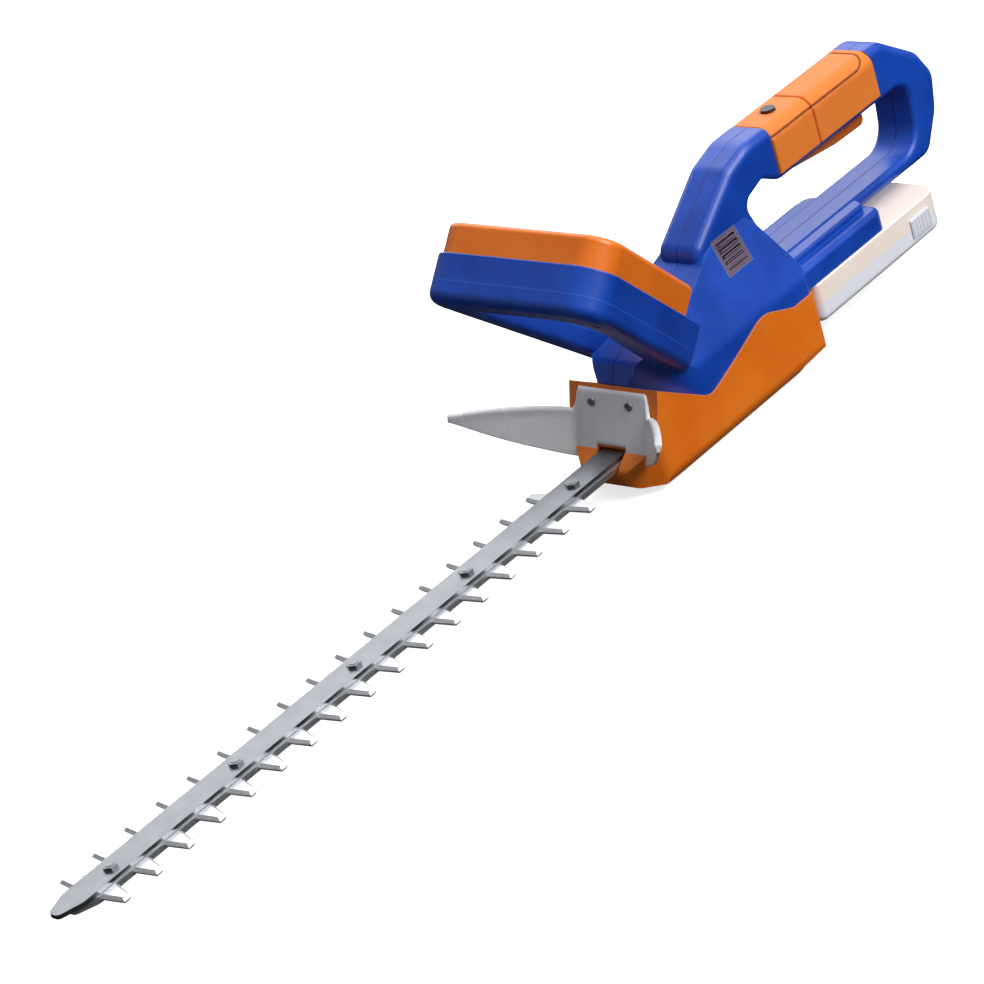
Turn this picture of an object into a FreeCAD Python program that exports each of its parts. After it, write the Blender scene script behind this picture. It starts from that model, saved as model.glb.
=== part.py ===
import FreeCAD, Part
import math
import os
import Sketcher
from FreeCAD import Vector

# Cordless hedge trimmer: two toothed blades that slide against each other, a flat
# gearbox and an upright motor in an orange belly and a blue clamshell housing, a
# rear loop handle with a trigger, a leaning front loop handle with a switch bar,
# a clear hand guard and a slide-on battery pack.
#
# Frame: +X runs forward along the blades, +Y to the user's left, +Z up. The origin
# is the middle of the flat foot pad under the gearbox. All sizes are millimetres.

VALUES = [
    # blades
    ("tooth_pitch", 27.0, "cutting teeth, centre to centre"),
    ("tooth_count", 17, "teeth along each edge"),
    ("tooth_start", 43.7, "nose to the first tooth"),
    ("tooth_reach", 17.0, "how far a tooth stands out of the spine"),
    ("tooth_root", 14.0, "tooth width at the spine"),
    ("tooth_crest", 6.0, "tooth width at its tip"),
    ("tooth_bevel", 1.6, "width of the ground cutting bevel"),
    ("spine_half", 11.0, "half the width of the blade spine"),
    ("blade_thick", 2.0, "thickness of each blade"),
    ("blade_gap", 0.3, "air between two sliding pieces"),
    ("blade_level", 22.0, "height of the plane between the blades"),
    ("tip_run", 23.0, "last tooth to the end of the blade spine"),
    ("stroke", 8.0, "travel of each blade either side of rest"),
    ("bar_thick", 3.0, "guide bar thickness"),
    ("bar_half", 10.0, "half the guide bar width"),
    ("bolt_radius", 3.0, "blade bolt shank"),
    ("nut_height", 2.2, "height of the low nuts on the guide bar"),
    ("bolt_count", 5, "bolts along the blades"),
    ("bolt_teeth", 4, "teeth from one bolt to the next"),
    # drive
    ("gear_x", 30.0, "drive gear axis"),
    ("gear_module", 1.0, "size of the gear teeth"),
    ("gear_teeth", 54, "teeth on the drive gear"),
    ("pinion_teeth", 12, "teeth on the motor pinion"),
    ("gear_thick", 8.0, "drive gear face width"),
    ("backlash", 0.16, "play between meshing teeth"),
    ("cam_radius", 13.0, "eccentric disc radius"),
    ("shaft_radius", 3.5, "gear shaft radius"),
    ("yoke_rim", 5.0, "metal left round the yoke window"),
    ("box_wall", 3.0, "gearbox wall"),
    ("box_floor", 8.5, "underside of the gearbox"),
    ("bearing_radius", 8.0, "outside radius of the shaft bearings"),
    ("bearing_width", 5.0, "width of the shaft bearings"),
    ("motor_radius", 18.0, "motor can radius"),
    ("motor_length", 33.5, "motor can length"),
    ("motor_shaft_radius", 2.0, "motor shaft radius"),
    ("fan_radius", 15.0, "cooling fan radius"),
    ("run_clear", 0.05, "running clearance of shafts and pins"),
    # casings
    ("wall", 2.5, "wall of every casing"),
    ("nose_front", 110.0, "front of the nose's chin"),
    ("face_front", 95.0, "foot of the nose's leaning face, above its chin"),
    ("face_foot", 31.0, "height of that foot"),
    ("face_lean", 0.4, "how far the face leans back for each mm of height"),
    ("nose_top", 67.0, "height of the top of the nose"),
    ("chin_top", 21.0, "height of the chin's front edge"),
    ("belly_rear", -88.0, "rear face of the belly"),
    ("belly_half", 38.0, "half the width of the belly"),
    ("body_half", 37.0, "half the width of the blue body low down"),
    ("leg_half", 17.0, "half the width of the blue body at the rear handle"),
    ("shoulder", 62.0, "height where the blue body starts to narrow"),
    ("leg_level", 118.0, "height where it has narrowed to the leg"),
    ("loop_half", 17.5, "half the width of the rear loop"),
    ("loop_top", 159.0, "top of the rear loop"),
    ("loop_rear", -287.0, "rearmost point of the rear loop"),
    ("beam_bottom", 61.0, "underside of the rear loop's lower beam"),
    ("beam_top", 72.0, "top of the rear loop's lower beam"),
    ("grip_bottom", 121.0, "underside of the grip"),
    ("strut_inner", -257.0, "inner face of the rear strut"),
    ("loop_round", 6.4, "rounding of the rear loop's outer edges"),
    ("hole_round", 4.0, "rounding of the edges of the rear loop's gap"),
    ("grip_front", -106.0, "front end of the grip pads"),
    ("grip_joint", -152.0, "joint between the two grip pads"),
    ("grip_rear", -223.0, "rear end of the grip pads"),
    ("pad_thick", 3.0, "thickness of the soft grip pads"),
    ("pad_skirt", 4.0, "height of the pads' lower edges over the grip's underside"),
    ("holder_rear", -177.0, "rear end of the battery holder"),
    ("holder_bottom", 51.0, "underside of the battery holder"),
    ("holder_top", 66.0, "top of the battery holder"),
    ("holder_half", 36.0, "half the width of the battery holder"),
    # rear controls
    ("trigger_pin_x", -112.0, "trigger pivot"),
    ("trigger_pin_z", 130.0, "trigger pivot height"),
    ("trigger_half", 8.5, "half the trigger width"),
    ("trigger_end", -212.0, "rear tip of the trigger"),
    ("trigger_drop", 12.0, "how far the trigger hangs below the grip at its rear"),
    ("trigger_pin_radius", 2.0, "trigger pin radius"),
    ("lock_x", -130.0, "lock-off button axis"),
    ("lock_radius", 5.0, "lock-off button radius"),
    ("lock_travel", 3.0, "lock-off button travel"),
    # front handle, in its own leaning plane: d runs up and forward, n up and back
    ("handle_lean", 44.0, "angle of the front handle above the blades"),
    ("handle_foot", 76.0, "d of the handle's foot"),
    ("handle_head", 228.0, "d of the outside of the crossbar"),
    ("foot_half", 39.0, "half the outside width at the foot"),
    ("head_half", 78.0, "half the outside width at the crossbar"),
    ("handle_strut", 25.0, "width of the legs and the crossbar"),
    ("handle_front", 10.8, "n of the handle's front face"),
    ("handle_back", 43.0, "n of the handle's rear rim"),
    ("handle_split", 25.0, "n of the joint between its two shells"),
    ("handle_corner", 20.0, "outside corner radius of the handle"),
    ("opening_corner", 15.0, "corner radius of its opening at the crossbar"),
    ("handle_round", 7.5, "rounding of the handle's front outer edges"),
    ("opening_round", 4.5, "rounding of the front edges of its opening"),
    ("bar_foot", 100.0, "d where the switch bar's legs end"),
    ("bar_rim", 2.4, "rim of the handle beside the switch bar"),
    ("bar_crest", 64.0, "n of the switch bar's rear face"),
    ("bar_depth", 26.0, "depth of the switch bar"),
    ("bar_travel", 4.0, "travel of the switch bar"),
    # hand guard
    ("guard_half", 92.0, "half the span of the hand guard"),
    ("guard_sweep", 66.0, "how far its wing tips stand forward of the nose's face"),
    ("guard_thick", 3.0, "thickness of the hand guard"),
    ("guard_top", 66.0, "top edge of the guard at its middle"),
    ("guard_rise", 6.0, "rise of the top edge from middle to tips"),
    # battery pack
    ("pack_front", -89.5, "front face of the battery pack"),
    ("pack_rear", -237.0, "rear face of the battery pack"),
    ("pack_half", 37.0, "half the width of the battery pack"),
    ("pack_bottom", 22.0, "underside of the battery pack"),
    ("pack_split", 36.0, "joint between its two casings"),
    ("pack_round", 5.0, "rounding of its long edges"),
    ("rail_half", 24.0, "half the width of the slide rail"),
    ("rail_neck", 20.0, "half the width of the rail's neck"),
    ("rail_rear", -170.0, "rear end of the slide rail"),
    ("rail_thick", 4.0, "thickness of the rail's head"),
    ("slide_clear", 0.4, "clearance round the sliding pack"),
    ("cell_radius", 9.1, "battery cell radius"),
    ("cell_length", 65.0, "battery cell length"),
    ("cell_pitch", 18.6, "cells, centre to centre"),
    ("cell_count", 5, "cells in the pack"),
    ("latch_x", -209.5, "middle of the release buttons"),
    ("latch_length", 22.0, "length of a release button"),
    ("latch_height", 13.0, "height of a release button"),
    ("latch_travel", 2.5, "travel of a release button"),
    # fasteners
    ("screw_radius", 1.5, "casing screw shank"),
    ("screw_head", 3.0, "casing screw head radius"),
    ("boss_radius", 5.5, "screw boss radius"),
]

doc = FreeCAD.newDocument("HedgeTrimmer")
sheet = doc.addObject("Spreadsheet::Sheet", "Sizes")
for row, (alias, value, note) in enumerate(VALUES, start=1):
    sheet.set(f"A{row}", note)
    sheet.set(f"B{row}", str(value))
    sheet.setAlias(f"B{row}", alias)
doc.recompute()

NODES = {}
FAR = 400.0        # reach of a cutting box, past any face of the trimmer


def size(alias):
    """One driving dimension, read from the sheet."""
    return float(sheet.get(alias))


def keep(item, label):
    """Name a finished sub-part and put it on the list of files to write."""
    item.Label = label
    NODES[label] = item
    return item


def feature(label, shape):
    """A sub-part whose shape is worked out below from the sheet's values."""
    item = doc.addObject("Part::Feature", label)
    item.Shape = shape
    return keep(item, label)


# ---------------------------------------------------------------- PartDesign helpers


def sketch_on(body, name, height):
    """A sketch on the body's XY plane, lifted to a height given as an expression."""
    sketch = body.newObject("Sketcher::SketchObject", name)
    plane = next(item for item in body.Origin.OriginFeatures if item.Role == "XY_Plane")
    sketch.AttachmentSupport = [(plane, "")]
    sketch.MapMode = "FlatFace"
    sketch.setExpression("AttachmentOffset.Base.z", height)
    return sketch


def draw_circle(sketch, radius):
    """A circle about the sketch's origin, its radius bound to an expression."""
    circle = sketch.addGeometry(Part.Circle(Vector(), Vector(0, 0, 1), 1.0))
    sketch.addConstraint(Sketcher.Constraint("Coincident", circle, 3, -1, 1))
    number = sketch.addConstraint(Sketcher.Constraint("Radius", circle, 1.0))
    sketch.setExpression(f"Constraints[{number}]", radius)


def turned_body(label, steps, at, bore=None):
    """A PartDesign body of stacked discs, (radius, bottom, length) each, with a bore."""
    body = doc.addObject("PartDesign::Body", label)
    for number, (radius, bottom, length) in enumerate(steps):
        sketch = sketch_on(body, f"{label}_disc{number}", bottom)
        draw_circle(sketch, radius)
        pad = body.newObject("PartDesign::Pad", f"{label}_pad{number}")
        pad.Profile = sketch
        pad.setExpression("Length", length)
    if bore:
        sketch = sketch_on(body, f"{label}_bore", steps[0][1])
        draw_circle(sketch, bore)
        doc.recompute()
        pocket = body.newObject("PartDesign::Pocket", f"{label}_pocket")
        pocket.Profile = sketch
        pocket.Type = "ThroughAll"
        pocket.Reversed = True
    for axis, expression in zip("xyz", at):
        body.setExpression(f"Placement.Base.{axis}", expression)
    return keep(body, label)


# --------------------------------------------------------------- Part helpers


def bound_box(label, low, spans):
    """A Part::Box between bound corners."""
    item = doc.addObject("Part::Box", label)
    for axis, expression in zip("xyz", low):
        item.setExpression(f"Placement.Base.{axis}", expression)
    for name, expression in zip(("Length", "Width", "Height"), spans):
        item.setExpression(name, expression)
    return item


def bound_cylinder(label, at, radius, height, axis=Vector(0, 0, 1)):
    """A Part::Cylinder of bound size that starts at a bound point and runs along axis."""
    item = doc.addObject("Part::Cylinder", label)
    item.Placement.Rotation = FreeCAD.Rotation(Vector(0, 0, 1), axis)
    for name, expression in zip("xyz", at):
        item.setExpression(f"Placement.Base.{name}", expression)
    item.setExpression("Radius", radius)
    item.setExpression("Height", height)
    return item


def cut_from(label, base, *tools):
    """base less the tools, as a chain of Part::Cut objects; the last has the label."""
    for number, tool in enumerate(tools):
        last = number == len(tools) - 1
        item = doc.addObject("Part::Cut", label if last else f"{label}_cut{number}")
        item.Base = base
        item.Tool = tool
        base = item
    return keep(base, label)


# --------------------------------------------------------------- shape helpers


def rounded_wire(corners, place):
    """Closed wire through (u, v, radius) corners; place turns u, v into a point."""
    edges = []
    previous = None
    first = None
    count = len(corners)
    for index, (u, v, radius) in enumerate(corners):
        here = Vector(u, v, 0)
        before = Vector(corners[index - 1][0], corners[index - 1][1], 0)
        after = Vector(corners[(index + 1) % count][0], corners[(index + 1) % count][1], 0)
        back = (before - here).normalize()
        ahead = (after - here).normalize()
        half_turn = back.getAngle(ahead) / 2
        run = radius / math.tan(half_turn)
        start = here + back * run
        end = here + ahead * run
        if previous is not None and (start - previous).Length > 1e-6:
            edges.append((previous, start))
        if radius > 0:
            inward = (back + ahead).normalize()
            middle = here + inward * (radius / math.sin(half_turn) - radius)
            edges.append((start, middle, end))
        first = start if first is None else first
        previous = end
    if (first - previous).Length > 1e-6:
        edges.append((previous, first))
    curves = []
    for points in edges:
        placed = [place(point.x, point.y) for point in points]
        maker = Part.LineSegment if len(placed) == 2 else Part.Arc
        curves.append(maker(*placed).toShape())
    return Part.Wire(curves)


def face_between(outer, holes=(), inset=0.0):
    """A flat face inside outer and outside the holes, shrunk by inset all round."""
    face = Part.Face([outer, *holes])
    face.validate()
    return face.makeOffset2D(-inset).Faces[0] if inset else face


def side_point(level):
    """Placing function for outlines drawn in side view, at y = level."""
    return lambda x, z: Vector(x, level, z)


def side_slab(corners, half, inset=0.0):
    """A side-view outline given thickness from -half to half across the trimmer."""
    half = half - inset
    outer = rounded_wire(corners, side_point(-half))
    return face_between(outer, (), inset).extrude(Vector(0, 2 * half, 0))


def plan_slab(corners, low, high, inset=0.0):
    """A plan-view outline given height from low to high."""
    wire = rounded_wire(corners, lambda x, y: Vector(x, y, low))
    return face_between(wire, (), inset).extrude(Vector(0, 0, high - low))


def front_slab(corners, rear, front, inset=0.0):
    """A front-view (y, z) outline given length from rear to front."""
    wire = rounded_wire(corners, lambda y, z: Vector(rear, y, z))
    return face_between(wire, (), inset).extrude(Vector(front - rear, 0, 0))


def block(low, high):
    """A box between two corners."""
    span = Vector(*high) - Vector(*low)
    return Part.makeBox(span.x, span.y, span.z, Vector(*low))


def rod(start, end, radius):
    """A cylinder from one point to another."""
    along = Vector(*end) - Vector(*start)
    return Part.makeCylinder(radius, along.Length, Vector(*start), along)


def tube(start, end, radius, bore):
    """A hollow cylinder from one point to another."""
    return rod(start, end, radius).cut(rod(start, end, bore))


def round_edges(solid, radius, wanted):
    """Fillet the edges for which wanted(edge) is true."""
    return solid.makeFillet(radius, [edge for edge in solid.Edges if wanted(edge)])


def round_rim(solid, wire, radius):
    """Fillet the edges of a solid that lie on a wire."""
    def wanted(edge):
        middle = edge.valueAt((edge.FirstParameter + edge.LastParameter) / 2)
        return wire.distToShape(Part.Vertex(middle))[0] < 1e-3
    return round_edges(solid, radius, wanted)


def rounded_ring(face, along, caps):
    """A holed face given thickness; caps holds (outer, hole) rounding for each end."""
    solid = face.extrude(along)
    outer = face.OuterWire
    holes = [wire for wire in face.Wires if not wire.isSame(outer)]
    for shift, (outer_round, hole_round) in zip((Vector(), along), caps):
        for wire, radius in [(outer, outer_round)] + [(hole, hole_round) for hole in holes]:
            rim = wire.copy()
            rim.translate(shift)
            solid = round_rim(solid, rim, radius)
    return solid


def at_level(coordinate, level):
    """Test for edges that lie wholly at a level of x, y or z."""
    def wanted(edge):
        box = edge.BoundBox
        low = getattr(box, coordinate + "Min")
        high = getattr(box, coordinate + "Max")
        return abs(low - level) < 1e-4 and abs(high - level) < 1e-4
    return wanted


def both_halves(label, shape):
    """Split a casing at its middle plane into a left and a right node."""
    left = block((-FAR, 0, -FAR), (FAR, FAR, FAR))
    right = block((-FAR, -FAR, -FAR), (FAR, 0, FAR))
    feature(f"{label}_left", shape.common(left))
    feature(f"{label}_right", shape.common(right))


def coil(x, y, low, high, radius, wire, turns):
    """A compression spring standing on end."""
    pitch = (high - low - wire * 2) / turns
    helix = Part.makeHelix(pitch, high - low - wire * 2, radius)
    helix.translate(Vector(x, y, low + wire))
    ring = Part.makeCircle(wire, Vector(x + radius, y, low + wire), Vector(0, 1, 0))
    spring = Part.Wire(helix.Edges).makePipeShell([Part.Wire(ring)], True, True)
    return spring


def lead(points, radius):
    """An insulated wire: straight runs joined by tangent arcs."""
    vectors = [Vector(*point) for point in points]
    edges = []
    start = vectors[0]
    for before, here, after in zip(vectors, vectors[1:], vectors[2:]):
        back = (before - here)
        ahead = (after - here)
        half_turn = back.getAngle(ahead) / 2
        run = 0.45 * min(back.Length, ahead.Length)
        bend = run * math.tan(half_turn)
        inward = (back.normalize() + ahead.normalize()).normalize()
        enter = here + back * run
        leave = here + ahead * run
        middle = here + inward * (bend / math.sin(half_turn) - bend)
        edges.append(Part.LineSegment(start, enter).toShape())
        edges.append(Part.Arc(enter, middle, leave).toShape())
        start = leave
    edges.append(Part.LineSegment(start, vectors[-1]).toShape())
    circle = Part.makeCircle(radius, vectors[0], vectors[1] - vectors[0])
    return Part.Wire(edges).makePipeShell([Part.Wire(circle)], True, False)


# --------------------------------------------------------------- derived places

LEAN = math.radians(size("handle_lean"))
DEPTH = Vector(math.cos(LEAN), 0, math.sin(LEAN))      # d: up and forward
NORMAL = Vector(-math.sin(LEAN), 0, math.cos(LEAN))    # n: up and back

blade_low = size("blade_level") - size("blade_gap") / 2 - size("blade_thick")
blade_high = size("blade_level") + size("blade_gap") / 2 + size("blade_thick")
bar_low = blade_high + size("blade_gap")
bar_high = bar_low + size("bar_thick")
gear_low = bar_high + 2 * size("blade_gap")
gear_high = gear_low + size("gear_thick")
cover_low = gear_high + 2.0
cover_high = cover_low + size("box_wall")
gear_pitch_radius = size("gear_module") * size("gear_teeth") / 2
pinion_pitch_radius = size("gear_module") * size("pinion_teeth") / 2
motor_x = size("gear_x") - gear_pitch_radius - pinion_pitch_radius
window_half_x = size("stroke") * 2 + size("cam_radius") + size("slide_clear")
window_half_y = size("stroke") + size("cam_radius") + size("slide_clear")
tail_half_x = window_half_x + size("yoke_rim")
tail_half_y = window_half_y + size("yoke_rim")
box_inner_rear = size("gear_x") - tail_half_x - size("stroke") - 2.5
box_inner_front = size("gear_x") + tail_half_x + size("stroke") + 3.5
box_rear = box_inner_rear - 7.0
box_front = box_inner_front + 12.0
box_half = max(tail_half_y, gear_pitch_radius + 2.0) + 1.5 + size("box_wall")
first_tooth = size("nose_front") + size("tooth_start")
last_tooth = first_tooth + size("tooth_pitch") * (size("tooth_count") - 1)
spine_end = last_tooth + size("tip_run")
bar_end = spine_end + size("stroke") + 3.0
bolt_places = [
    first_tooth - size("tooth_pitch") / 2 + size("tooth_pitch") * size("bolt_teeth") * index
    for index in range(int(size("bolt_count")))
]
mount_low = cover_high + 9.0
mount_high = mount_low + 2.5
can_high = mount_high + size("motor_length")
cap_high = can_high + 4.0
pack_top = size("holder_bottom") - 0.5
rail_low = size("holder_bottom") + 3.2
rail_high = rail_low + size("rail_thick")
core_half = size("loop_half") - 1.0


# --------------------------------------------------------------- outlines


def loop_outline():
    """Side view of the rear loop handle with its front leg."""
    top = size("loop_top")
    rear = size("loop_rear")
    low = size("beam_bottom")
    return [
        (-60, top - 7, 16), (-84, top, 30), (-238, top, 16), (rear + 12, top - 26, 14),
        (rear, top - 46, 14), (rear + 6, low + 26, 24), (rear + 24, low, 14),
        (-40, low, 12), (-8, 80, 12), (-8, 117, 12),
    ]


def loop_hole():
    """Side view of the finger gap inside the rear loop."""
    return [
        (-106, size("grip_bottom"), 14), (-90, size("grip_bottom") + 9, 6),
        (-67, size("grip_bottom") + 2, 8), (-86, size("beam_top"), 12),
        (size("strut_inner") + 6, size("beam_top"), 20),
        (size("strut_inner"), size("grip_bottom"), 14),
    ]


def face_x(z):
    """x of the nose's leaning face at a height."""
    return size("face_front") - size("face_lean") * (z - size("face_foot"))


def seam_line():
    """The line where the blue housing meets the orange belly, front to rear."""
    top = size("nose_top")
    return [(face_x(top), top, 0), (64, 56, 10), (34, 37, 14), (4, 47, 12), (-33, 61, 24), (-64, 49, 12)]


def body_outline():
    """Side view of the blue middle body, from its front face round to the seam."""
    rear = size("belly_rear")
    return [
        (rear, 49, 2), (-84, 71, 8), (-67, 110, 8), (-54, 124, 10), (-14, 112, 12),
        (12, 99, 14), (48, 89, 12), (74, 81, 8), *seam_line(),
    ]


def belly_outline():
    """Side view of the orange belly."""
    front = size("nose_front")
    rear = size("belly_rear")
    return [
        (front, 8, 7), (front, size("chin_top"), 6), (size("face_front"), size("face_foot"), 8),
        *seam_line(), (rear, 49, 2), (rear, 8, 5),
        (-60, 6, 8), (-52, 0, 6), (50, 0, 40), (90, 4, 20),
    ]


def belly_section():
    """Front view of the belly."""
    half = size("belly_half")
    return [(-half, 0, 12), (half, 0, 12), (half, 80, 2), (-half, 80, 2)]


def nose_plan():
    """Plan view of the belly, which tapers at the nose."""
    half = size("belly_half")
    front = size("nose_front")
    rear = size("belly_rear")
    return [
        (rear, -half, 6), (box_front + 3, -half, 10), (front, 18 - half, 12),
        (front, half - 18, 12), (box_front + 3, half, 10), (rear, half, 6),
    ]


def body_section():
    """Front view of the blue body: wide at the belly, narrow at the handle."""
    wide = size("body_half")
    slim = size("leg_half")
    return [
        (-wide, 30, 2), (wide, 30, 2), (wide, size("shoulder"), 16),
        (slim, size("leg_level"), 20), (slim - 1, size("loop_top"), 6),
        (1 - slim, size("loop_top"), 6), (-slim, size("leg_level"), 20),
        (-wide, size("shoulder"), 16),
    ]


def body_plan():
    """Plan view of the blue body, which tapers at its front face."""
    wide = size("body_half")
    rear = size("belly_rear")
    return [
        (rear, -wide, 8), (44, -wide, 24), (80, -15, 9), (80, 15, 9), (44, wide, 24), (rear, wide, 8),
    ]


# --------------------------------------------------------------- casings


def loop_solid(inset):
    """The rear loop, or the room inside it when inset by the wall."""
    half = size("loop_half") - inset
    outer = rounded_wire(loop_outline(), side_point(-half))
    hole = rounded_wire(loop_hole(), side_point(-half))
    caps = [(size("loop_round") - inset, size("hole_round") - inset)] * 2
    return rounded_ring(face_between(outer, [hole], inset), Vector(0, 2 * half, 0), caps)


def body_solid(inset):
    """The blue middle body, or the room inside it."""
    slab = side_slab(body_outline(), FAR / 4, inset)
    rear = size("belly_rear") - 5
    section = front_slab(body_section(), rear, size("nose_front"), inset)
    plan = plan_slab(body_plan(), 0, size("loop_top") + 5, inset)
    return slab.common(section).common(plan)


def belly_solid(inset):
    """The orange belly, or the room inside it."""
    slab = side_slab(belly_outline(), FAR / 4, inset)
    section = front_slab(belly_section(), size("belly_rear") - 5, size("nose_front") + 5, inset)
    plan = plan_slab(nose_plan(), -5, 90, inset)
    return slab.common(section).common(plan)


def holder_solid():
    """The slab under the lower beam that the battery pack slides into."""
    half = size("holder_half")
    front = -45.0
    slab = plan_slab(
        [(size("holder_rear"), -half, 9), (front, -half, 2), (front, half, 2),
         (size("holder_rear"), half, 9)],
        size("holder_bottom"), size("holder_top"))
    upper = plan_slab(
        [(size("holder_rear") + 4, -half + 10, 8), (front, -half + 10, 2), (front, half - 10, 2),
         (size("holder_rear") + 4, half - 10, 8)],
        size("holder_top"), size("beam_top") - 1)
    slab = round_edges(slab, 4, at_level("Z", size("holder_top")))
    upper = round_edges(upper, 2, at_level("Z", size("beam_top") - 1))
    return slab.fuse(upper)


def rail_room():
    """The T-shaped slot in the battery holder, open at the rear."""
    clear = size("slide_clear")
    rear = size("holder_rear") - 5
    front = size("pack_front") - 1.5
    neck = size("rail_neck") + clear
    head = size("rail_half") + clear
    lip = rail_low - clear
    lower = block((rear, -neck, size("holder_bottom") - 1), (front, neck, lip))
    upper = block((rear, -head, lip), (front, head, rail_high + clear))
    return lower.fuse(upper)


def grip_band(half, top):
    """The stretch of the rear loop under the grip pads, at a half width and top."""
    low = size("grip_bottom") - 6
    corners = [(-half, low, 0), (half, low, 0), (half, top, half * 0.55), (-half, top, half * 0.55)]
    return front_slab(corners, size("grip_rear"), size("grip_front"))


def grip_recess():
    """What is cut from the rear loop so that the pads sit flush."""
    core = grip_band(core_half, size("loop_top") - size("pad_thick"))
    skirt = size("grip_bottom") + size("pad_skirt")
    whole = block((size("grip_rear"), -FAR / 8, skirt), (size("grip_front"), FAR / 8, FAR / 2))
    return whole.cut(core)


def grip_pad(label, rear, front):
    """A soft pad saddled over the top and sides of the grip."""
    outer = grip_band(core_half + size("pad_thick"), size("loop_top") + 0.5)
    core = grip_band(core_half, size("loop_top") - size("pad_thick"))
    skirt = size("grip_bottom") + size("pad_skirt")
    span = block((rear, -FAR / 8, skirt), (front, FAR / 8, FAR / 2))
    pad = outer.common(span).cut(core)
    return feature(label, pad.cut(lock_room(size("blade_gap"))))


def lock_room(clear):
    """The hole that the lock-off button runs in."""
    x = size("lock_x")
    return rod((x, 0, size("loop_top") - 15), (x, 0, size("loop_top") + 9),
               size("lock_radius") + clear)


def spring_seat():
    """The bridge across the grip that the lock-off spring stands on."""
    seat = size("loop_top") - size("pad_thick") - size("wall") - 14.1
    x = size("lock_x")
    half = size("loop_half") - 2.0
    return block((x - 4, -half, seat - 2), (x + 4, half, seat))


def trigger_slot():
    """The slot in the grip's underside that the trigger swings in."""
    half = size("trigger_half") + size("slide_clear")
    return block((size("trigger_end") - 4, -half, size("grip_bottom") - 8),
                 (size("trigger_pin_x") + 9, half, size("trigger_pin_z") + 9))


def housing_screw_places():
    """Side-view places of the screws that join the blue halves."""
    return [
        (size("loop_rear") + 24, size("loop_top") - 32), (size("loop_rear") + 32, size("beam_top") + 8),
        (-82, size("loop_top") - 18), (-38, size("leg_level") - 3), (62, 65),
    ]


def belly_screw_places():
    """Side-view places of the screws that join the orange halves."""
    return [(size("belly_rear") + 12, 20), (box_rear - 10, 20), (face_x(53) - 9, 53)]


def screw_boss(x, z):
    """A full-width boss along y at a side-view place."""
    return rod((x, -FAR / 8, z), (x, FAR / 8, z), size("boss_radius"))


def screw_hole(x, z):
    """The hole for one cross screw: shank, head and counterbore."""
    shank = rod((x, -12, z), (x, 10, z), size("screw_radius"))
    bore = rod((x, -FAR / 8, z), (x, -10.5, z), size("screw_head") + 0.3)
    return shank.fuse(bore)


def cross_screw(x, z):
    """A pan-head screw from the right half into the left."""
    shank = rod((x, -10.5, z), (x, 10, z), size("screw_radius"))
    head = rod((x, -13, z), (x, -10.5, z), size("screw_head"))
    drive = block((x - 2, -13.1, z - 0.5), (x + 2, -12.1, z + 0.5))
    cross = block((x - 0.5, -13.1, z - 2), (x + 0.5, -12.1, z + 2))
    return shank.fuse(head).cut(drive).cut(cross)


def vent_box(side):
    """The stretch of the body's side that a vent grille fills."""
    low, high = sorted((side * 12.0, side * 40.0))
    return block((-50, low, 92), (-24, high, 117))


def make_casings():
    """The blue clamshell, the orange belly and the vent grilles."""
    wall = size("wall")
    belly_outer = belly_solid(0)
    blue_outer = loop_solid(0).fuse(body_solid(0)).fuse(holder_solid()).cut(belly_outer)
    blue_inner = loop_solid(wall).fuse(body_solid(wall))
    bay = block((size("belly_rear") + 18, -FAR / 8, 20), (72, FAR / 8, 66))
    bay = bay.common(plan_slab(body_plan(), 0, size("loop_top"), wall))
    belly_inner = belly_solid(wall)
    blue = blue_outer.cut(blue_inner).cut(bay)
    for x, z in housing_screw_places():
        blue = blue.fuse(screw_boss(x, z).common(blue_outer))
    blue = blue.fuse(spring_seat())
    blue = blue.cut(rail_room()).cut(grip_recess()).cut(lock_room(size("blade_gap")))
    blue = blue.cut(trigger_slot()).cut(handle_block()).cut(terminal_window())
    blue = blue.cut(trigger_pin_rod())
    for x, z in housing_screw_places():
        blue = blue.cut(screw_hole(x, z))
    for side, name in ((1, "left"), (-1, "right")):
        patch = vent_box(side)
        grille = patch.common(blue_outer).cut(blue_inner)
        for index in range(5):
            low = 95 + index * 4.2
            grille = grille.cut(block((-47, -FAR / 8, low), (-27, FAR / 8, low + 2.2)))
        blue = blue.cut(patch)
        feature(f"vent_{name}", grille)
    both_halves("housing", blue)

    belly = belly_outer.cut(belly_inner).cut(bay)
    ribs = []
    for x in (-10.0, size("gear_x") + 30):
        ribs.append(block((x, 6 - size("belly_half"), 1), (x + 4, size("belly_half") - 6, size("box_floor"))))
    for x in (-72.0, -38.0):
        for side in (1, -1):
            low, high = sorted((side * 18.0, side * (size("belly_half") - 1)))
            ribs.append(block((x, low, 35), (x + 4, high, 38)))
    for rib in ribs:
        belly = belly.fuse(rib.common(belly_outer))
    for x, z in belly_screw_places():
        belly = belly.fuse(screw_boss(x, z).common(belly_outer))
    for x, z in belly_screw_places():
        belly = belly.cut(screw_hole(x, z))
    clear = size("slide_clear")
    mouth_half = size("spine_half") + clear + 0.6
    belly = belly.cut(block((box_front - 4, -mouth_half, blade_low - 1.2),
                            (FAR, mouth_half, bar_high + 0.6)))
    belly = belly.cut(block((size("face_front"), -mouth_half, blade_low - 1.2), (FAR, mouth_half, FAR)))
    for hole in guard_screw_places():
        belly = belly.cut(rod((face_x(hole[1]) - GUARD_BITE, *hole), (FAR, *hole), size("screw_radius")))
    both_halves("belly", belly)


def make_screws():
    """The cross screws of the housing and of the belly."""
    feature("housing_screws", Part.makeCompound([cross_screw(*place) for place in housing_screw_places()]))
    feature("belly_screws", Part.makeCompound([cross_screw(*place) for place in belly_screw_places()]))


# --------------------------------------------------------------- front handle


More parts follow.
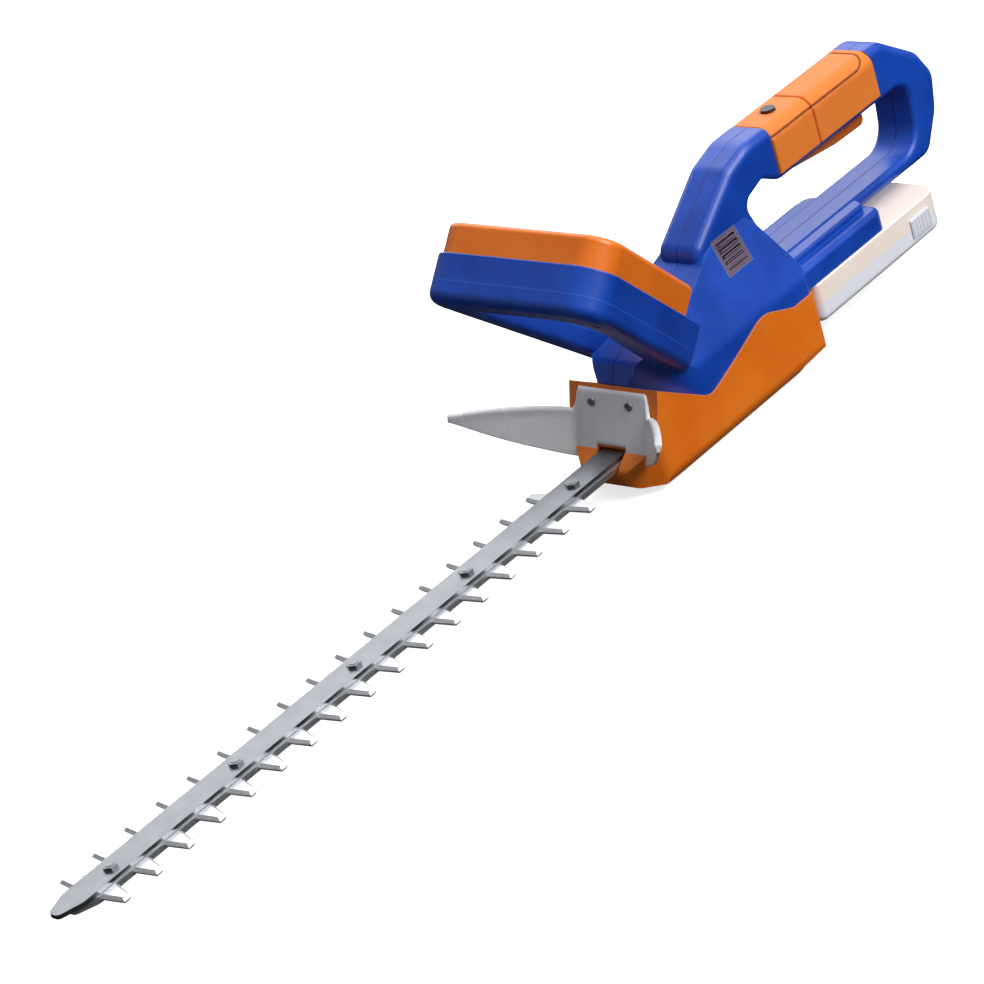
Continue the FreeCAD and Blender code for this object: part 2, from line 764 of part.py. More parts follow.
def handle_point(level):
    """Placing function for outlines drawn in the front handle's plane, at n = level."""
    return lambda y, d: DEPTH * d + Vector(0, y, 0) + NORMAL * level


def handle_outline():
    """Outside of the front handle in its own plane."""
    foot, head = size("foot_half"), size("head_half")
    corner = size("handle_corner")
    return [
        (foot, size("handle_foot"), 10), (head, size("handle_head"), corner),
        (-head, size("handle_head"), corner), (-foot, size("handle_foot"), 10),
    ]


def handle_opening():
    """The hand's gap in the front handle."""
    strut = size("handle_strut")
    foot, head = size("foot_half") - strut, size("head_half") - strut
    corner = size("opening_corner")
    return [
        (foot, size("handle_foot") + 15, 8), (head, size("handle_head") - strut, corner),
        (-head, size("handle_head") - strut, corner), (-foot, size("handle_foot") + 15, 8),
    ]


def handle_face(level, inset):
    """The front handle's holed outline at a level of n."""
    outer = rounded_wire(handle_outline(), handle_point(level))
    inner = rounded_wire(handle_opening(), handle_point(level))
    return face_between(outer, [inner], inset)


def handle_ring(low, high, inset=0.0):
    """The front handle's ring between two levels of n, with square edges."""
    return handle_face(low, inset).extrude(NORMAL * (high - low))


def handle_block(inset=0.0):
    """The whole front handle, or the room under its channel, with rounded edges."""
    low = size("handle_front") + inset
    high = channel_floor() - inset if inset else size("handle_back")
    rims = (size("handle_round") - inset, size("opening_round") - inset)
    rear_rims = (1.0, 1.0)
    return rounded_ring(handle_face(low, inset), NORMAL * (high - low), [rims, rear_rims])


def channel_floor():
    """n of the floor of the channel that the switch bar sinks into."""
    return size("bar_crest") - size("bar_depth") - size("bar_travel") - 0.5


def at_handle_level(level):
    """Test for edges that lie wholly at a level of n."""
    def wanted(edge):
        return all(abs(vertex.Point.dot(NORMAL) - level) < 1e-4 for vertex in edge.Vertexes)
    return wanted


def bar_ring(low, high, clear):
    """The U that the switch bar fills, grown by a clearance."""
    ring = handle_ring(low, high, size("bar_rim") - clear)
    foot = size("bar_foot") - clear
    corner = DEPTH * foot + NORMAL * (low - 5) + Vector(0, -FAR / 2, 0)
    room = Part.makeBox(FAR, FAR, FAR)
    room.Placement = FreeCAD.Placement(corner, FreeCAD.Rotation(DEPTH, Vector(0, 1, 0), NORMAL, "XYZ"))
    return ring.common(room)


def handle_screw_places():
    """Places (y, d) of the front handle's four screws."""
    foot_d = size("handle_foot") + 22
    head_d = size("handle_head") - 27
    foot_y = size("foot_half") - size("handle_strut") / 2 + 3
    head_y = size("head_half") - size("handle_strut") / 2 - 5
    return [(side * y, d) for side in (1, -1) for y, d in ((foot_y, foot_d), (head_y, head_d))]


def make_front_handle():
    """Two shells, the switch bar, its switch and the handle's screws."""
    wall = size("wall")
    front, back, split = size("handle_front"), size("handle_back"), size("handle_split")
    channel = channel_floor()
    clear = size("slide_clear") / 2
    ring = handle_block()
    shell = ring.cut(handle_block(wall)).cut(bar_ring(channel, back + 5, clear))
    for y, d in handle_screw_places():
        low, high = handle_point(front)(y, d), handle_point(channel - 1)(y, d)
        shell = shell.fuse(rod(low, high, 4.5).common(ring))
    for y, d in handle_screw_places():
        low, high = handle_point(front + 2)(y, d), handle_point(channel - 3)(y, d)
        shell = shell.cut(rod(low, high, size("screw_radius")))
        shell = shell.cut(rod(handle_point(front - 4)(y, d), handle_point(front + 4)(y, d),
                              size("screw_head") + 0.3))
    plunger = handle_point(0)(0, switch_depth())
    shell = shell.cut(rod(plunger + NORMAL * 20, plunger + NORMAL * (back + 5), 1.8))
    cap = handle_ring(split, back + 10)
    feature("front_handle_rear", shell.common(cap))
    feature("front_handle_front", shell.cut(cap))

    foot = size("bar_crest") - size("bar_depth")
    bar = bar_ring(foot, size("bar_crest"), -clear)
    bar = round_edges(bar, 4, at_handle_level(size("bar_crest")))
    bar = bar.cut(bar_ring(foot - 1, size("bar_crest") - wall, -clear - wall))
    feature("front_switch_bar", bar)

    screws = []
    for y, d in handle_screw_places():
        at = handle_point(0)(y, d)
        shank = rod(at + NORMAL * (front + 4), at + NORMAL * (channel - 3), size("screw_radius"))
        head = rod(at + NORMAL * (front + 1.6), at + NORMAL * (front + 4), size("screw_head"))
        screws.append(shank.fuse(head))
    feature("front_handle_screws", Part.makeCompound(screws))


def switch_depth():
    """d of the middle of the crossbar, where the front switch sits."""
    return size("handle_head") - size("handle_strut") / 2


def make_front_switch():
    """The micro switch in the crossbar, with its plunger under the switch bar."""
    front, wall = size("handle_front"), size("wall")
    depth = switch_depth()
    body = Part.makeBox(10, 20, 13)
    corner = DEPTH * (depth - 5) + NORMAL * (front + wall) + Vector(0, -10, 0)
    body.Placement = FreeCAD.Placement(corner, FreeCAD.Rotation(DEPTH, Vector(0, 1, 0), NORMAL, "XYZ"))
    at = handle_point(0)(0, depth)
    plunger = rod(at + NORMAL * (front + wall + 10), at + NORMAL * (channel_floor() + 0.2), 1.5)
    feature("front_switch", body.fuse(plunger))


# --------------------------------------------------------------- hand guard


GUARD_BITE = 7.0       # length of a guard screw inside the nose


def guard_screw_places():
    """Front-view places (y, z) of the two guard screws."""
    height = size("guard_top") - 9
    return [(16.0, height), (-16.0, height)]


def guard_plan():
    """Plan view of the guard at z = 0: flat across the nose, then swept to the tips."""
    thick = size("guard_thick")
    half = size("guard_half")
    rear = face_x(0)
    tip = rear + size("guard_sweep")
    flat = size("belly_half") - 4
    return [
        (rear, -flat, 14), (tip, -half, 0), (tip + thick * 0.8, -half + 1.8, 0),
        (rear + thick, -flat + 1.5, 12), (rear + thick, flat - 1.5, 12),
        (tip + thick * 0.8, half - 1.8, 0), (tip, half, 0), (rear, flat, 14),
    ]


def guard_band():
    """The guard's swept sheet, leaning back with the nose's face."""
    height = size("loop_top")
    wire = rounded_wire(guard_plan(), lambda x, y: Vector(x, y, 0))
    return face_between(wire, ()).extrude(Vector(-size("face_lean") * height, 0, height))


def guard_outline():
    """Front view of the guard: a plate over the nose and two rising, tapering wings."""
    half = size("guard_half")
    top = size("guard_top")
    tip = top + size("guard_rise")
    notch = size("spine_half") + 2.0
    sill = bar_high + 3.5
    plate = size("belly_half") - 9
    right = [
        (notch, sill, 2), (notch, 17, 1), (32, 22, 8), (52, top - 32, 24), (half - 20, top - 17, 24),
        (half, tip - 6, 3), (half, tip, 3), (half - 32, top - 3, 40), (plate + 9, top - 12, 12),
        (plate + 4, top - 12, 3), (plate, top, 8),
    ]
    left = [(-y, z, radius) for y, z, radius in reversed(right)]
    return right + left


def make_guard():
    """A clear shield across the nose, its two wings swept forward and up."""
    thick = size("guard_thick")
    span = front_slab(guard_outline(), 0, face_x(0) + size("guard_sweep") + 10)
    guard = guard_band().common(span).cut(belly_solid(0))
    screws = []
    for y, z in guard_screw_places():
        rear = face_x(z)
        seat = rear + thick - 1.0
        guard = guard.cut(rod((rear - 1, y, z), (seat + 5, y, z), size("screw_radius")))
        guard = guard.cut(rod((seat, y, z), (seat + 5, y, z), size("screw_head") + 0.2))
        shank = rod((rear - GUARD_BITE, y, z), (seat, y, z), size("screw_radius"))
        head = rod((seat, y, z), (seat + 2, y, z), size("screw_head"))
        slot = block((seat + 1.2, y - 2, z - 0.5), (seat + 3, y + 2, z + 0.5))
        screws.append(shank.fuse(head).cut(slot))
    feature("hand_guard", guard)
    feature("guard_screws", Part.makeCompound(screws))


# --------------------------------------------------------------- blades


def tooth(x, side, low, high, bevel_up):
    """One tooth: a tapered prism whose outer face is narrower by the ground bevel."""
    root, crest, bevel = size("tooth_root") / 2, size("tooth_crest") / 2, size("tooth_bevel")
    near = size("spine_half") - 1.5
    far = size("spine_half") + size("tooth_reach")
    lean = 1.5

    def outline(z, trim):
        points = [
            (x - root + trim, near), (x - crest + lean + trim * 0.8, far - trim),
            (x + crest + lean - trim * 0.8, far - trim), (x + root - trim, near),
        ]
        return Part.makePolygon([Vector(px, side * py, z) for px, py in points + points[:1]])

    trims = (0, bevel) if bevel_up else (bevel, 0)
    return Part.makeLoft([outline(low, trims[0]), outline(high, trims[1])], True, True)


def blade(label, low, bevel_up):
    """A toothed blade: tail with its yoke window, spine, bolt slots and teeth."""
    high = low + size("blade_thick")
    gear_x = size("gear_x")
    half = size("spine_half")
    tip = spine_end
    plan = [
        (gear_x - tail_half_x, -tail_half_y, 6), (gear_x + tail_half_x - 4, -tail_half_y, 6),
        (gear_x + tail_half_x, -half, 2), (tip - 14, -half, 10), (tip, -4, 3),
        (tip, 4, 3), (tip - 14, half, 10), (gear_x + tail_half_x, half, 2),
        (gear_x + tail_half_x - 4, tail_half_y, 6), (gear_x - tail_half_x, tail_half_y, 6),
    ]
    plate = plan_slab(plan, low, high)
    window = plan_slab(
        [(gear_x - window_half_x, -window_half_y, 4), (gear_x + window_half_x, -window_half_y, 4),
         (gear_x + window_half_x, window_half_y, 4), (gear_x - window_half_x, window_half_y, 4)],
        low - 1, high + 1)
    teeth = [
        tooth(first_tooth + size("tooth_pitch") * index, side, low, high, bevel_up)
        for index in range(int(size("tooth_count"))) for side in (1, -1)
    ]
    slots = []
    slot_half = size("bolt_radius") + size("blade_gap")
    for x in bolt_places:
        reach = size("stroke") + slot_half
        corners = [(x - reach, -slot_half, slot_half * 0.98), (x + reach, -slot_half, slot_half * 0.98),
                   (x + reach, slot_half, slot_half * 0.98), (x - reach, slot_half, slot_half * 0.98)]
        slots.append(plan_slab(corners, low - 1, high + 1))
    feature(label, plate.fuse(teeth).cut(Part.makeCompound([window, *slots])))


def make_guide_bar():
    """The stiff bar over the blades, with the bolts, nuts and its own two screws."""
    half = size("bar_half")
    rear = box_front - 24.0
    plan = [(rear, -half, 2), (bar_end - 16, -half, 12), (bar_end, -4, 3.5),
            (bar_end, 4, 3.5), (bar_end - 16, half, 12), (rear, half, 2)]
    bar = plan_slab(plan, bar_low, bar_high)
    bolts, nuts = [], []
    radius = size("bolt_radius")
    gap = size("blade_gap")
    nut_high = size("nut_height")
    for x in bolt_places:
        bar = bar.cut(rod((x, 0, bar_low - 1), (x, 0, bar_high + 1), radius))
        head_top = blade_low - gap
        shank = rod((x, 0, head_top), (x, 0, bar_high + nut_high + 0.3), radius)
        head = rod((x, 0, head_top - 2.4), (x, 0, head_top), radius * 2)
        bolts.append(shank.fuse(head))
        corners = [math.radians(60 * index) for index in range(7)]
        hexagon = [Vector(x + 5.0 * math.cos(turn), 5.0 * math.sin(turn), bar_high) for turn in corners]
        nut = Part.Face(Part.makePolygon(hexagon)).extrude(Vector(0, 0, nut_high))
        nuts.append(nut.cut(rod((x, 0, bar_high - 1), (x, 0, bar_high + 6), radius)))
    screws = []
    for y in (6.0, -6.0):
        x = box_front - 6.0
        bar = bar.cut(rod((x, y, bar_low - 1), (x, y, bar_high + 1), 2.0))
        shank = rod((x, y, bar_low), (x, y, cover_low - 3.5), 2.0)
        screws.append(shank.fuse(rod((x, y, cover_low - 3.5), (x, y, cover_low - 0.5), 3.4)))
    feature("guide_bar", bar)
    feature("blade_bolts", Part.makeCompound(bolts))
    feature("blade_nuts", Part.makeCompound(nuts))
    feature("guide_bar_screws", Part.makeCompound(screws))


# --------------------------------------------------------------- gears


def gear_wire(teeth, height):
    """Outline of an involute spur gear, a tooth pointing along +X."""
    module = size("gear_module")
    pressure = math.radians(25)
    pitch_radius = module * teeth / 2
    base_radius = pitch_radius * math.cos(pressure)
    tip_radius = pitch_radius + 0.9 * module
    root_radius = pitch_radius - 1.2 * module
    half_angle = (math.pi * module / 2 - size("backlash")) / (2 * pitch_radius)
    involute = math.tan(pressure) - pressure

    def flank(radius):
        """Half the angle that a tooth spans at a radius."""
        at = math.acos(min(1.0, base_radius / radius))
        return half_angle + involute - (math.tan(at) - at)

    start = max(base_radius, root_radius)
    radii = [start + (tip_radius - start) * step / 4 for step in range(5)]
    side = [(radius, flank(radius)) for radius in radii]
    if base_radius > root_radius:
        side.insert(0, (root_radius, flank(start)))
    points = []
    for index in range(teeth):
        middle = 2 * math.pi * index / teeth
        for radius, angle in side:
            points.append((radius, middle - angle))
        for radius, angle in reversed(side):
            points.append((radius, middle + angle))
    vectors = [Vector(radius * math.cos(angle), radius * math.sin(angle), height) for radius, angle in points]
    return Part.makePolygon(vectors + vectors[:1])


def make_gears():
    """The motor pinion and the flat drive gear, in mesh at rest."""
    teeth = int(size("gear_teeth"))
    gear = Part.Face(gear_wire(teeth, gear_low)).extrude(Vector(0, 0, size("gear_thick")))
    holes = []
    for index in range(6):
        angle = math.radians(60 * index + 30)
        reach = gear_pitch_radius * 0.6
        at = (reach * math.cos(angle), reach * math.sin(angle))
        holes.append(rod((*at, gear_low - 1), (*at, gear_high + 1), gear_pitch_radius * 0.16))
    gear = gear.cut(holes).cut(rod((0, 0, gear_low - 1), (0, 0, gear_high + 1), size("shaft_radius")))
    if teeth % 2:
        gear.rotate(Vector(), Vector(0, 0, 1), 180.0 / teeth)
    gear.translate(Vector(size("gear_x"), 0, 0))
    feature("drive_gear", gear)

    count = int(size("pinion_teeth"))
    pinion = Part.Face(gear_wire(count, gear_low - 0.5)).extrude(Vector(0, 0, size("gear_thick") + 1))
    pinion.rotate(Vector(), Vector(0, 0, 1), 180.0 / count)
    pinion = pinion.cut(rod((0, 0, 0), (0, 0, FAR), size("motor_shaft_radius")))
    pinion.translate(Vector(motor_x, 0, 0))
    feature("pinion", pinion)


def make_drive_train():
    """Gear shaft, eccentrics and bearings, as turned bodies."""
    low = "Sizes.box_floor + Sizes.box_wall"
    middle = "Sizes.blade_level"
    turned_body("gear_shaft", [("Sizes.shaft_radius", "0", f"{cover_high + 2.4 - size('box_floor') - 3.2} ")],
                ("Sizes.gear_x", "0", f"{low} + 0.2"))
    for label, side, base in (
            ("lower_cam", "Sizes.stroke", f"{middle} - Sizes.blade_gap / 2 - Sizes.blade_thick"),
            ("upper_cam", "-Sizes.stroke", f"{middle} + Sizes.blade_gap / 2")):
        disc = bound_cylinder(f"{label}_disc", ("Sizes.gear_x", side, base), "Sizes.cam_radius",
                              "Sizes.blade_thick")
        bore = bound_cylinder(f"{label}_bore", ("Sizes.gear_x", "0", f"{base} - 1"), "Sizes.shaft_radius",
                              "Sizes.blade_thick + 2")
        cut_from(label, disc, bore)
    for label, height in (("lower_bearing", f"{size('box_floor') + size('box_wall')}"),
                          ("upper_bearing", f"{cover_high + 2.6 - size('bearing_width')}")):
        turned_body(label, [("Sizes.bearing_radius", "0", "Sizes.bearing_width")],
                    ("Sizes.gear_x", "0", height), "Sizes.shaft_radius + Sizes.run_clear")


def make_gearbox():
    """The die-cast tray with the blade slot in its front, its lid and the screws."""
    wall = size("box_wall")
    floor, top = size("box_floor"), cover_low
    half = box_half
    outer = plan_slab([(box_rear, -half, 5), (box_front, -half, 5), (box_front, half, 5),
                       (box_rear, half, 5)], floor, top)
    inner = plan_slab([(box_inner_rear, wall - half, 2), (box_inner_front, wall - half, 2),
                       (box_inner_front, half - wall, 2), (box_inner_rear, half - wall, 2)],
                      floor + wall, top + 1)
    slot_half = size("spine_half") + 0.6
    mouth = block((box_inner_front - 1, -slot_half, blade_low - 0.8), (box_front + 1, slot_half, bar_high))
    gear_x = size("gear_x")
    bearing = size("bearing_radius")
    tray = outer.cut(inner).cut(mouth)
    tray = tray.fuse(tube((gear_x, 0, floor + wall), (gear_x, 0, floor + wall + size("bearing_width")),
                          bearing + 2.5, bearing))
    corners = [(x, side * (half - 6)) for x in (box_rear + 3.6, box_front - 6) for side in (1, -1)]
    screws = []
    cover = plan_slab([(box_rear, -half, 5), (box_front, -half, 5), (box_front, half, 5),
                       (box_rear, half, 5)], top, cover_high)
    cover = cover.fuse(rod((gear_x, 0, top), (gear_x, 0, cover_high + 2.6), bearing + 2.5))
    cover = cover.cut(rod((gear_x, 0, cover_high + 2.6 - size("bearing_width")),
                          (gear_x, 0, cover_high + 9), bearing))
    cover = cover.cut(rod((gear_x, 0, 0), (gear_x, 0, cover_high), size("shaft_radius") + 1.0))
    cover = cover.cut(rod((motor_x, 0, 0), (motor_x, 0, cover_high + 9), size("motor_shaft_radius") + 1.5))
    for x, y in corners:
        hole = rod((x, y, top - 10), (x, y, cover_high + 1), size("screw_radius"))
        tray = tray.cut(hole)
        cover = cover.cut(hole)
        shank = rod((x, y, top - 10), (x, y, cover_high), size("screw_radius"))
        screws.append(shank.fuse(rod((x, y, cover_high), (x, y, cover_high + 2), size("screw_head"))))
    for y in (6.0, -6.0):
        x = box_front - 6.0
        tray = tray.cut(rod((x, y, bar_low), (x, y, top), 2.0))
        tray = tray.cut(rod((x, y, top - 3.5), (x, y, top + 1), 3.4))
    feature("gearbox_base", tray)
    feature("gearbox_cover", cover)
    feature("gearbox_screws", Part.makeCompound(screws))


# --------------------------------------------------------------- motor


def make_motor():
    """Can, magnets, end cap, armature on its shaft, fan and the plate that holds them."""
    radius = size("motor_radius")
    shaft = size("motor_shaft_radius")
    x = motor_x
    can = rod((x, 0, mount_high), (x, 0, can_high), radius)
    can = can.cut(rod((x, 0, mount_high + 1.5), (x, 0, can_high + 1), radius - 1.5))
    can = can.cut(rod((x, 0, 0), (x, 0, can_high), shaft + size("run_clear")))
    for angle in (0, 180):
        window = block((x + radius - 4, -5, can_high - 9), (x + radius + 2, 5, can_high - 4))
        window.rotate(Vector(x, 0, 0), Vector(0, 0, 1), angle)
        can = can.cut(window)
    feature("motor_can", can)
    ring = tube((x, 0, mount_high + 4), (x, 0, can_high - 10), radius - 1.5, radius - 5.0)
    gap = block((x - 5, -FAR / 8, 0), (x + 5, FAR / 8, FAR / 2))
    feature("motor_magnets", ring.cut(gap))
    cap = rod((x, 0, can_high), (x, 0, cap_high), radius)
    cap = cap.cut(rod((x, 0, 0), (x, 0, FAR / 2), shaft + size("run_clear")))
    for side in (1, -1):
        cap = cap.cut(block((x - 4, side * 11 - 2, 0), (x + 4, side * 11 + 2, FAR / 2)))
    feature("motor_end_cap", cap)
    core = rod((x, 0, mount_high + 6), (x, 0, can_high - 12), radius - 5.8)
    for index in range(5):
        slot = block((x + 6, -1.2, 0), (x + 20, 1.2, FAR / 2))
        slot.rotate(Vector(x, 0, 0), Vector(0, 0, 1), 72 * index)
        core = core.cut(slot)
    core = core.fuse(rod((x, 0, can_high - 12), (x, 0, can_high - 4), 5.0))
    feature("armature", core.cut(rod((x, 0, 0), (x, 0, FAR / 2), shaft)))
    turned_body("motor_shaft", [("Sizes.motor_shaft_radius", "0", f"{cap_high + 1 - gear_low + 0.5}")],
                (f"{x}", "0", f"{gear_low - 0.5}"))
    low = cover_high + 1.4
    fan = tube((x, 0, low), (x, 0, low + 1), size("fan_radius"), shaft)
    fan = fan.fuse(tube((x, 0, low), (x, 0, low + 5.5), 4.5, shaft))
    for index in range(9):
        vane = block((x + 3.8, -0.6, low + 0.5), (x + size("fan_radius") - 0.4, 0.6, low + 5.5))
        vane.rotate(Vector(x, 0, 0), Vector(0, 0, 1), 40 * index)
        fan = fan.fuse(vane)
    feature("cooling_fan", fan)
    plate = rod((x, 0, mount_low), (x, 0, mount_high), radius + 3)
    plate = plate.cut(rod((x, 0, 0), (x, 0, FAR / 2), 5.0))
    for side in (1, -1):
        at = (x, side * (radius + 0.2))
        plate = plate.fuse(rod((*at, cover_high), (*at, mount_low + 1), 2.4))
    feature("motor_mount", plate)


# --------------------------------------------------------------- rear controls


def trigger_pin_rod():
    """The trigger's pivot pin."""
    x, z = size("trigger_pin_x"), size("trigger_pin_z")
    return rod((x, -core_half, z), (x, core_half, z), size("trigger_pin_radius"))


def make_trigger():
    """The long trigger under the grip, its pin and its return spring."""
    grip = size("grip_bottom")
    rear = size("trigger_end")
    pin_x, pin_z = size("trigger_pin_x"), size("trigger_pin_z")
    outline = [
        (pin_x + 5, pin_z + 5, 4.5), (pin_x - 9, pin_z + 4, 4), (pin_x - 16, grip + 7, 4),
        (rear, grip + 7, 3), (rear - 1, grip - size("trigger_drop"), 5),
        (rear + 34, grip - size("trigger_drop") + 1, 30), (pin_x - 4, grip - 3, 8), (pin_x + 5, grip + 1, 4),
    ]
    half = size("trigger_half")
    trigger = side_slab(outline, half)
    trigger = round_edges(trigger, 2.2, at_level("Y", half))
    trigger = round_edges(trigger, 2.2, at_level("Y", -half))
    hole = rod((pin_x, -half - 1, pin_z), (pin_x, half + 1, pin_z),
               size("trigger_pin_radius") + size("run_clear"))
    feature("rear_trigger", trigger.cut(hole))
    pin = bound_cylinder("trigger_pin", ("Sizes.trigger_pin_x", f"{-core_half}", "Sizes.trigger_pin_z"),
                         "Sizes.trigger_pin_radius", f"{2 * core_half}", Vector(0, 1, 0))
    keep(pin, "trigger_pin")
    top = size("loop_top") - size("pad_thick") - size("wall") - 1.0
    feature("trigger_spring", coil(rear + 10, 0, grip + 7.1, top, 3.6, 0.5, 6))


def make_lock_off():
    """The lock-off button on top of the grip and its spring."""
    roof = size("loop_top") - size("pad_thick") - size("wall")
    steps = [
        ("Sizes.lock_radius + 2", "0", "1.6"),
        ("Sizes.lock_radius", "1.6", "Sizes.pad_thick + Sizes.wall + Sizes.lock_travel"),
    ]
    turned_body("lock_off_button", steps, ("Sizes.lock_x", "0", f"{roof - 2.0}"))
    feature("lock_off_spring", coil(size("lock_x"), 0, roof - 14.0, roof - 2.1, 3.2, 0.4, 5))


def make_rear_switch():
    """The main switch inside the grip, its plunger over the trigger."""
    x = size("trigger_end") + 28
    roof = size("loop_top") - size("pad_thick") - size("wall")
    body = block((x, -9, roof - 14), (x + 26, 9, roof))
    plunger = rod((x + 10, 0, roof - 18.5), (x + 10, 0, roof - 14), 1.6)
    lock_tab = block((x + 26, -4, roof - 12), (x + 33, 4, roof - 9))
    feature("rear_switch", body.fuse(plunger).fuse(lock_tab))


# --------------------------------------------------------------- battery pack


def pack_outline():
    """Plan view of the battery pack."""
    half = size("pack_half")
    rear, front = size("pack_rear"), size("pack_front")
    return [(front, -half, 6), (front, half, 6), (rear, half, 14), (rear, -half, 14)]


def pack_solid(inset):
    """The pack's block with rounded edges, or the room inside it."""
    low, high = size("pack_bottom") + inset, pack_top - inset
    slab = plan_slab(pack_outline(), low, high, inset)
    rounding = size("pack_round") - inset
    slab = round_edges(slab, rounding, at_level("Z", low))
    return round_edges(slab, 1.0, at_level("Z", high))


def pack_screw_places():
    """Plan places of the four battery case screws."""
    rear, front = size("pack_rear") + 13, size("pack_front") - 7
    return [(front, 29.0), (front, -29.0), (rear, 14.0), (rear, -14.0)]


def latch_room(side, clear):
    """The opening for a release button in the pack's side."""
    x, z = size("latch_x"), size("pack_split")
    length, height = size("latch_length") / 2 + clear, size("latch_height") / 2 + clear
    low, high = sorted((side * (size("pack_half") - 6), side * (size("pack_half") + 6)))
    return block((x - length, low, z - height), (x + length, high, z + height))


def make_pack():
    """Two casings, cells in their frame, straps, screws and the release buttons."""
    half, front = size("pack_half"), size("pack_front")
    neck, head = size("rail_neck"), size("rail_half")
    rail = block((size("rail_rear"), -neck, pack_top - 1), (front - 2.5, neck, rail_low + 1))
    rail = rail.fuse(block((size("rail_rear"), -head, rail_low), (front - 2.5, head, rail_high)))
    case = pack_solid(0).cut(pack_solid(size("wall")))
    case = case.fuse(rail)
    for y in terminal_rows():
        case = case.cut(block((front - 26, y - 0.8, rail_low - 1), (front, y + 0.8, rail_high + 1)))
    for x, y in pack_screw_places():
        case = case.fuse(rod((x, y, size("pack_bottom") + 1), (x, y, pack_top - 1), 4.2))
    for x, y in pack_screw_places():
        case = case.cut(rod((x, y, size("pack_bottom") - 1), (x, y, pack_top - 4), 1.3))
        case = case.cut(rod((x, y, size("pack_bottom") - 1), (x, y, size("pack_bottom") + 2.6), 2.8))
    for side in (1, -1):
        case = case.cut(latch_room(side, size("blade_gap")))
    lower = block((-FAR, -FAR, 0), (FAR, FAR, size("pack_split")))
    feature("battery_case_bottom", case.common(lower))
    feature("battery_case_top", case.cut(lower))

    middle = (size("pack_bottom") + pack_top) / 2
    cells, straps = [], []
    reach = size("cell_length") / 2
    first = front - size("wall") - 11.5 - size("cell_radius")
    frame_half = size("cell_radius") + 2.1
    frame = block((first - size("cell_pitch") * (size("cell_count") - 1) - frame_half,
                   -reach + 4, middle - frame_half),
                  (first + frame_half, reach - 4, middle + frame_half))
    frame = frame.cut(block((-FAR, -reach + 6.5, 0), (FAR, reach - 6.5, FAR)))
    for index in range(int(size("cell_count"))):
        x = first - size("cell_pitch") * index
        cell = rod((x, -reach, middle), (x, reach, middle), size("cell_radius"))
        cells.append(cell)
        frame = frame.cut(cell)
    for side in (1, -1):
        low, high = sorted((side * reach, side * (reach + 0.5)))
        straps.append(block((first - size("cell_pitch") * (size("cell_count") - 1) - 5, low, middle - 3),
                            (first + 5, high, middle + 3)))
    feature("battery_cells", Part.makeCompound(cells))
    feature("cell_frame", Part.makeCompound(frame.Solids))
    feature("cell_straps", Part.makeCompound(straps))

    screws = []
    for x, y in pack_screw_places():
        low = size("pack_bottom")
        shank = rod((x, y, low + 2.6), (x, y, pack_top - 4), 1.3)
        screws.append(shank.fuse(rod((x, y, low + 0.6), (x, y, low + 2.6), 2.5)))
    feature("battery_screws", Part.makeCompound(screws))

    for side, name in ((1, "left"), (-1, "right")):
        x, z = size("latch_x"), size("pack_split")
        length, height = size("latch_length") / 2, size("latch_height") / 2
        low, high = sorted((side * (half - 3.2), side * (half + size("latch_travel") / 2)))
        button = block((x - length, low, z - height), (x + length, high, z + height))
        low, high = sorted((side * (half - size("wall") - 2.4), side * (half - size("wall") - 0.3)))
        flange = block((x - length - 1.5, low, z - height - 1.5), (x + length + 1.5, high, z + height + 1.5))
        feature(f"release_button_{name}", button.fuse(flange))


def terminal_rows():
    """y of the battery's terminal blades."""
    return [-10.0, 0.0, 10.0]


def terminal_window():
    """The opening in the body's rear wall behind the terminal blades."""
    rear = size("belly_rear")
    return block((rear - 5, -12.5, rail_low - 1), (rear + size("wall") + 5, 12.5, rail_high + 0.4))


def make_electrics():
    """Terminal block with its blades, the control board and the leads."""
    rear = size("belly_rear") + size("wall") + 4.0
    feature("terminal_block", block((rear, -14, 51.5), (rear + 10, 14, rail_high + 3)))
    blades = []
    for y in terminal_rows():
        blades.append(block((size("pack_front") - 24, y - 0.4, rail_low + 0.5), (rear, y + 0.4,
            rail_high - 0.5)))
    feature("terminal_blades", Part.makeCompound(blades))
    board = bound_box("board", ("-74", "-24", "38"), ("42", "48", "1.6"))
    chip = bound_box("chip", ("-62", "-9", "39.6"), ("16", "18", "5"))
    control = doc.addObject("Part::Fuse", "control")
    control.Base = board
    control.Tool = chip
    keep(control, "control_board")
    motor, battery, switch = [], [], []
    for side in (1, -1):
        motor.append(lead([(motor_x, side * 11, cap_high), (motor_x, side * 11, cap_high + 3),
                           (motor_x - 8, side * 11, cap_high + 5), (-30, side * 12, cap_high - 8),
                           (-37, side * 12, 62), (-37, side * 12, 39.7)], 1.1))
        battery.append(lead([(rear + 10.1, side * 11, 56), (-62, side * 11, 56), (-62, side * 15, 48),
                             (-62, side * 15, 39.7)], 1.2))
        roof = size("loop_top") - size("pad_thick") - size("wall")
        switch.append(lead([(size("trigger_end") + 54.1, side * 7.6, roof - 4), (-146, side * 7.6, roof - 4),
                            (-118, side * 9.2, roof - 4), (-72, side * 8, roof - 3), (-50, side * 6, 128),
                            (-54, side * 6, 80), (-54, side * 6, 44.7)], 1.0))
    feature("motor_leads", Part.makeCompound(motor))
    feature("battery_leads", Part.makeCompound(battery))
    feature("switch_leads", Part.makeCompound(switch))


# --------------------------------------------------------------- build and write

